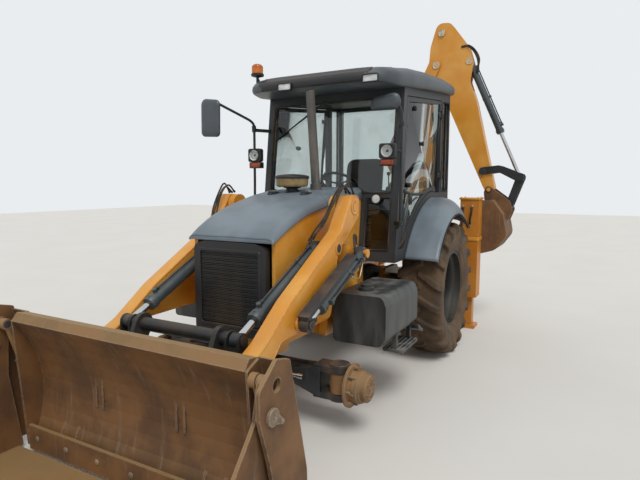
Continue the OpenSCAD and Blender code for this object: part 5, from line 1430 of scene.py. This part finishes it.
for side in (1, -1):
    y, label = MID + side * 114, "rear" if side > 0 else "front"
    piece(f"boom_pipes_{label}",
          run_of_pipes([(-205, 1250), (-90, 1800), (-5, 2250), (92, 2640), (195, 2930)], y,
                       (0.12, 0.5, 0.9)), "boom", CHARCOAL, 40)
    joint_hoses([[[-420 + k, MID + side * 90, 1120], [-390 + k, y, 1210], [-330 + k, y + side * 8, 1290],
                  [-262 + k, y + side * 4, 1278], [-208 + k, y, 1240]] for k in (-14, 14)],
                f"swing_hoses_{label}")
piece("dipper_pipes", run_of_pipes([(560, 3270), (640, 3050), (740, 2800), (850, 2490), (896, 2360)],
                                   MID + 84, (0.1, 0.5, 0.9)), "dipper", CHARCOAL, 40)
joint_hoses([[[195 + k, MID + 114, 2935], [200 + k, MID + 122, 3080], [270 + k, MID + 132, 3220],
              [380 + k, MID + 132, 3300 - k], [480 + k, MID + 108, 3310 - k], [548 + k, MID + 86, 3284]]
             for k in (-14, 14)], "elbow_hoses")
piece("digger_hoses",
      join(*(hose([[700 + k, MID - 74, 3560], [770 + k, MID - 84, 3566], [850 + k, MID - 84, 3500],
                   [905 + k, MID - 76, 3392], [916, MID - 50 - k, 3280], [905, MID - 30 - k, 3235]], 11)
             for k in (0, 22))), "digger_barrel", HOSE, 50)


def tooth_shape():
    """One tooth of the digger bucket: a shank on the lip that tapers to its point, in the backhoe's plane,
    58 mm wide."""
    base, u, v = np.array([532.0, 955.0]), np.array([-0.96, 0.28]), np.array([0.28, 0.96])
    local = np.array([[-78, 6], [-60, -14], [20, -21], [66, -14], [136, -3], [136, 4], [66, 22],
                      [10, 30], [-78, 30]])
    flat = base + local[:, :1] * u + local[:, 1:] * v
    return join(slab(flat, -29, 29, "y", 3), pin(base + 34 * u + 4 * v, "y", -33, 33, 9, 2))


def bucket_teeth():
    """Five teeth 120 mm apart across the digger bucket's lip."""
    return many(tooth_shape(), [[0, MID + k, 0] for k in (-240, -120, 0, 120, 240)])


piece("digger_teeth", bucket_teeth(), "digger_bucket", EDGE, 35)


def carriage_bolts():
    """Eight bolts with washers on the carriage's plate."""
    y = 1220.3 + 40
    places = [[x, 0, z] for x in (-740, -610, -490, -360) for z in (420, 1052)]
    return many(hexagon((0, y, 0), (0, 1, 0), 30, 18, 24), places)


piece("carriage_bolts", carriage_bolts(), "carriage", ZINC, 35)


# Moulded panels

def eased_line(knots, at, reach=30.0):
    """Values along a line of knots, each the mean of the straight line within reach to both sides, which
    rounds its corners."""
    k = np.asarray(knots, float)
    k = np.vstack([2 * k[0] - k[1], k, 2 * k[-1] - k[-2]])
    off = np.linspace(-reach, reach, 15)
    return np.interp(np.asarray(at, float)[..., None] + off, k[:, 0], k[:, 1]).mean(-1)


def finer(p, n=5):
    """A grid made finer along its rows: n places between two points, on the cubic of a smooth path through
    them."""
    q = np.concatenate([2 * p[:, :1] - p[:, 1:2], p, 2 * p[:, -1:] - p[:, -2:-1]], 1)
    t = np.linspace(0, 1, n, endpoint=False)[None, None, :, None]
    a, b, c, d = (q[:, i:i + p.shape[1] - 1, None] for i in range(4))
    s = 0.5 * (2 * b + (c - a) * t + (2 * a - 5 * b + 4 * c - d) * t ** 2
               + (3 * b - a - 3 * c + d) * t ** 3)
    return np.concatenate([s.reshape(len(p), -1, p.shape[2]), p[:, -1:]], 1)


# Heights of the bonnet's crown and of its side's lower edge, as y and z
CROWN = [[-2450, 1418], [-2380, 1478], [-2250, 1548], [-2100, 1606], [-1980, 1642], [-1700, 1706],
         [-1440, 1746], [-1000, 1768]]
SIDE_EDGE = [[-2450, 1380], [-2380, 1408], [-2250, 1465], [-2100, 1520], [-1980, 1556], [-1700, 1604],
             [-1440, 1634], [-1000, 1652]]


def mirrored_rows(half, y):
    """Rows of x and z from one side to the middle, mirrored to the other side and stood at their places
    along y."""
    across = np.concatenate([half, (half * [-1, 1])[:, -2::-1]], 1)
    return np.stack([across[..., 0], np.broadcast_to(y[:, None], across.shape[:2]), across[..., 1]], -1)


def bonnet_rows(y):
    """Rows across the bonnet: its side rises from the edge to a rounded shoulder and goes on nearly flat to
    the crown."""
    e, c = eased_line(SIDE_EDGE, y), eased_line(CROWN, y)
    rise = c - e
    x = np.array([385, 383, 374, 359, 335, 315, 250, 192, 100, 0], float)
    share = np.array([0, 0.28, 0.58, 0.80, 0.915, 0.95, 0.97, 0.98, 0.995, 1.0])
    half = np.stack(np.broadcast_arrays(x[None], e[:, None] + rise[:, None] * share
                                        - 2 * (x < 300) * (x > 0)), -1)
    return mirrored_rows(half, y)


def bonnet_shapes():
    """The hinged lid and the fixed cowl behind it, whose last row lies against the slanted cab front, and
    the lid's upright front."""
    lid = finer(bonnet_rows(np.linspace(-2449.5, -1644, 60)), 3)
    cowl = bonnet_rows(np.concatenate([np.linspace(-1635, -1040, 40), [-930]]))
    cowl[-1, :, 1] = front_y(cowl[-1, :, 2]) - 0.5
    edge = bonnet_rows(np.array([-2450.0]))[0][:, [0, 2]]
    front = slab(drawn_in(edge, 5), -2449.5, -2437, "y", 2)
    return skin(lid, ring=False, ends=False), skin(finer(cowl, 3), ring=False, ends=False), front


WALL = ("SOLIDIFY", {"thickness": 0.016, "offset": -1.0})
lid_sheet, cowl_sheet, lid_front = bonnet_shapes()
piece("bonnet_lid", lid_sheet, "bonnet", GREY, 40, ["hood_lid"], [WALL])
piece("bonnet_front", lid_front, "bonnet", GREY, 40)
piece("bonnet_cowl", cowl_sheet, "machine", GREY, 40, ["hood_cowl"], [WALL])


def bonnet_hinges():
    """The two bonnet hinges under the gap between lid and cowl: a knuckle on the lid between two on the
    cowl, about a pin."""
    at, places = (-1640, 1728), []
    for x in (130, 190):
        places += [pin(at, "x", x, x + 10, 12),
                   slab(outline([[-1634, 1704, 3], [-1580, 1704, 3], [-1580, 1732, 3], [-1634, 1732, 3]]),
                        x, x + 10, "x", 1)]
    moving = join(pin(at, "x", 142, 188, 12),
                  slab(outline([[-1680, 1696, 3], [-1641, 1696, 3], [-1641, 1722, 3], [-1680, 1722, 3]]),
                       142, 188, "x", 1))
    return both(join(*places, pin(at, "x", 134, 196, 6, 1))), both(moving)


fixed_half, moving_half = bonnet_hinges()
piece("bonnet_hinges", fixed_half, "machine", CHARCOAL, 35)
piece("bonnet_knuckles", moving_half, "bonnet", CHARCOAL, 35)


def fender_shape():
    """A fender: rows round the wheel every 2 degrees, each falling from the inner edge over a crown to a
    lip outside the tyre; the inner edge follows its own line of heights."""
    a = np.linspace(152, 50, 52)
    r, lip = WHEEL_R + eased_line(np.stack(FENDER_EDGE, -1), a, 5), 800.0
    inner_x, wide = 740.3, 325.7
    share = np.array([0, 0.18, 0.36, 0.6, 0.8, 0.95, 1.0])
    keep = np.array([1, 1, 1, 0.88, 0.6, 0.22, 0.0])
    rad = lip + (r[:, None] - lip) * keep + np.array([0, 0, 0, 0, 0, 4, -14])
    t = np.radians(a)[:, None]
    rows = np.stack([np.broadcast_to(inner_x + wide * share, rad.shape), rad * np.cos(t),
                     WHEEL_Z + rad * np.sin(t)], -1)
    return skin(finer(rows, 4), ring=False, ends=False)


piece("fenders_moulded", both(fender_shape()), "machine", GREY, 50, ["fenders"], [WALL])

# The roof's half width and its thickness along y
ROOF_HALF = [[-1270, 560], [-1250, 640], [-1190, 690], [-1140, 715], [-1000, 760], [-700, 800], [-300, 825],
             [300, 835], [700, 820], [860, 780], [940, 700], [965, 600]]
ROOF_THICK = [[-1270, 60], [-1250, 95], [-1190, 110], [-1140, 150], [-1000, 172], [-700, 190], [-300, 188],
              [300, 170], [700, 132], [860, 100], [940, 64], [965, 34]]


def roof_under(y):
    """Height of the roof's flat underside, just over the cab's top and level where that falls under 2664
    mm."""
    return np.maximum(top_z(y), 2664) + 0.3


def roof_shape():
    """The roof: rows along the machine, each a flat underside with a rounded edge that rises to a domed
    top; half width and thickness follow their own lines."""
    y = np.concatenate([[-1270, -1262, -1250, -1235], np.linspace(-1215, 930, 70), [945, 956, 965]])
    w, t = eased_line(ROOF_HALF, y, 14), eased_line(ROOF_THICK, y, 14)
    low = roof_under(y)
    x = np.stack([w - 70, w - 24, w - 5, w, w - 12, w - 50, w - 120, w * 0.5, 0 * w], 1)
    z = low[:, None] + np.stack([0 * t, 4 + 0 * t, t * 0.2, t * 0.45, t * 0.68, t * 0.86,
                                 t * 0.96, t, t], 1)
    return skin(finer(mirrored_rows(np.stack([x, z], -1), y), 3))


piece("roof_moulded", roof_shape(), "machine", ROOF, 45, ["cab_roof"])


def shaded_lip_shape():
    """The dark lip along the roof's front, part black moulding and part painted shade for the roof's
    shadowed
    front: a sheet 4 mm over the roof, whose height falls towards the ends as the roof's own."""
    y = np.array([-1273, -1273, -1268, -1258, -1240, -1215, -1190, -1165, -1140], float)
    w, t = eased_line(ROOF_HALF, y, 14), eased_line(ROOF_THICK, y, 14)
    low = roof_under(y)
    share = np.linspace(-1, 1, 41)
    x = share * np.minimum(w - 26, 560)[:, None]
    top = t[:, None] * np.interp(w[:, None] - np.abs(x), [0, 12, 50, 120, 300],
                                 [0.45, 0.68, 0.86, 0.96, 1.0])
    z = low[:, None] + top + 4
    z[0] = low[0] + 6
    return skin(np.stack([x, np.broadcast_to(y[:, None], x.shape), z], -1), ring=False, ends=False)


# A black sheet over the roof's front: partly its black moulding and partly painted shade for the shadowed
# front
piece("roof_visor_painted_shade", shaded_lip_shape(), "machine", BLACK, 40,
      modifiers=[("SOLIDIFY", {"thickness": 0.004, "offset": 0.0})])
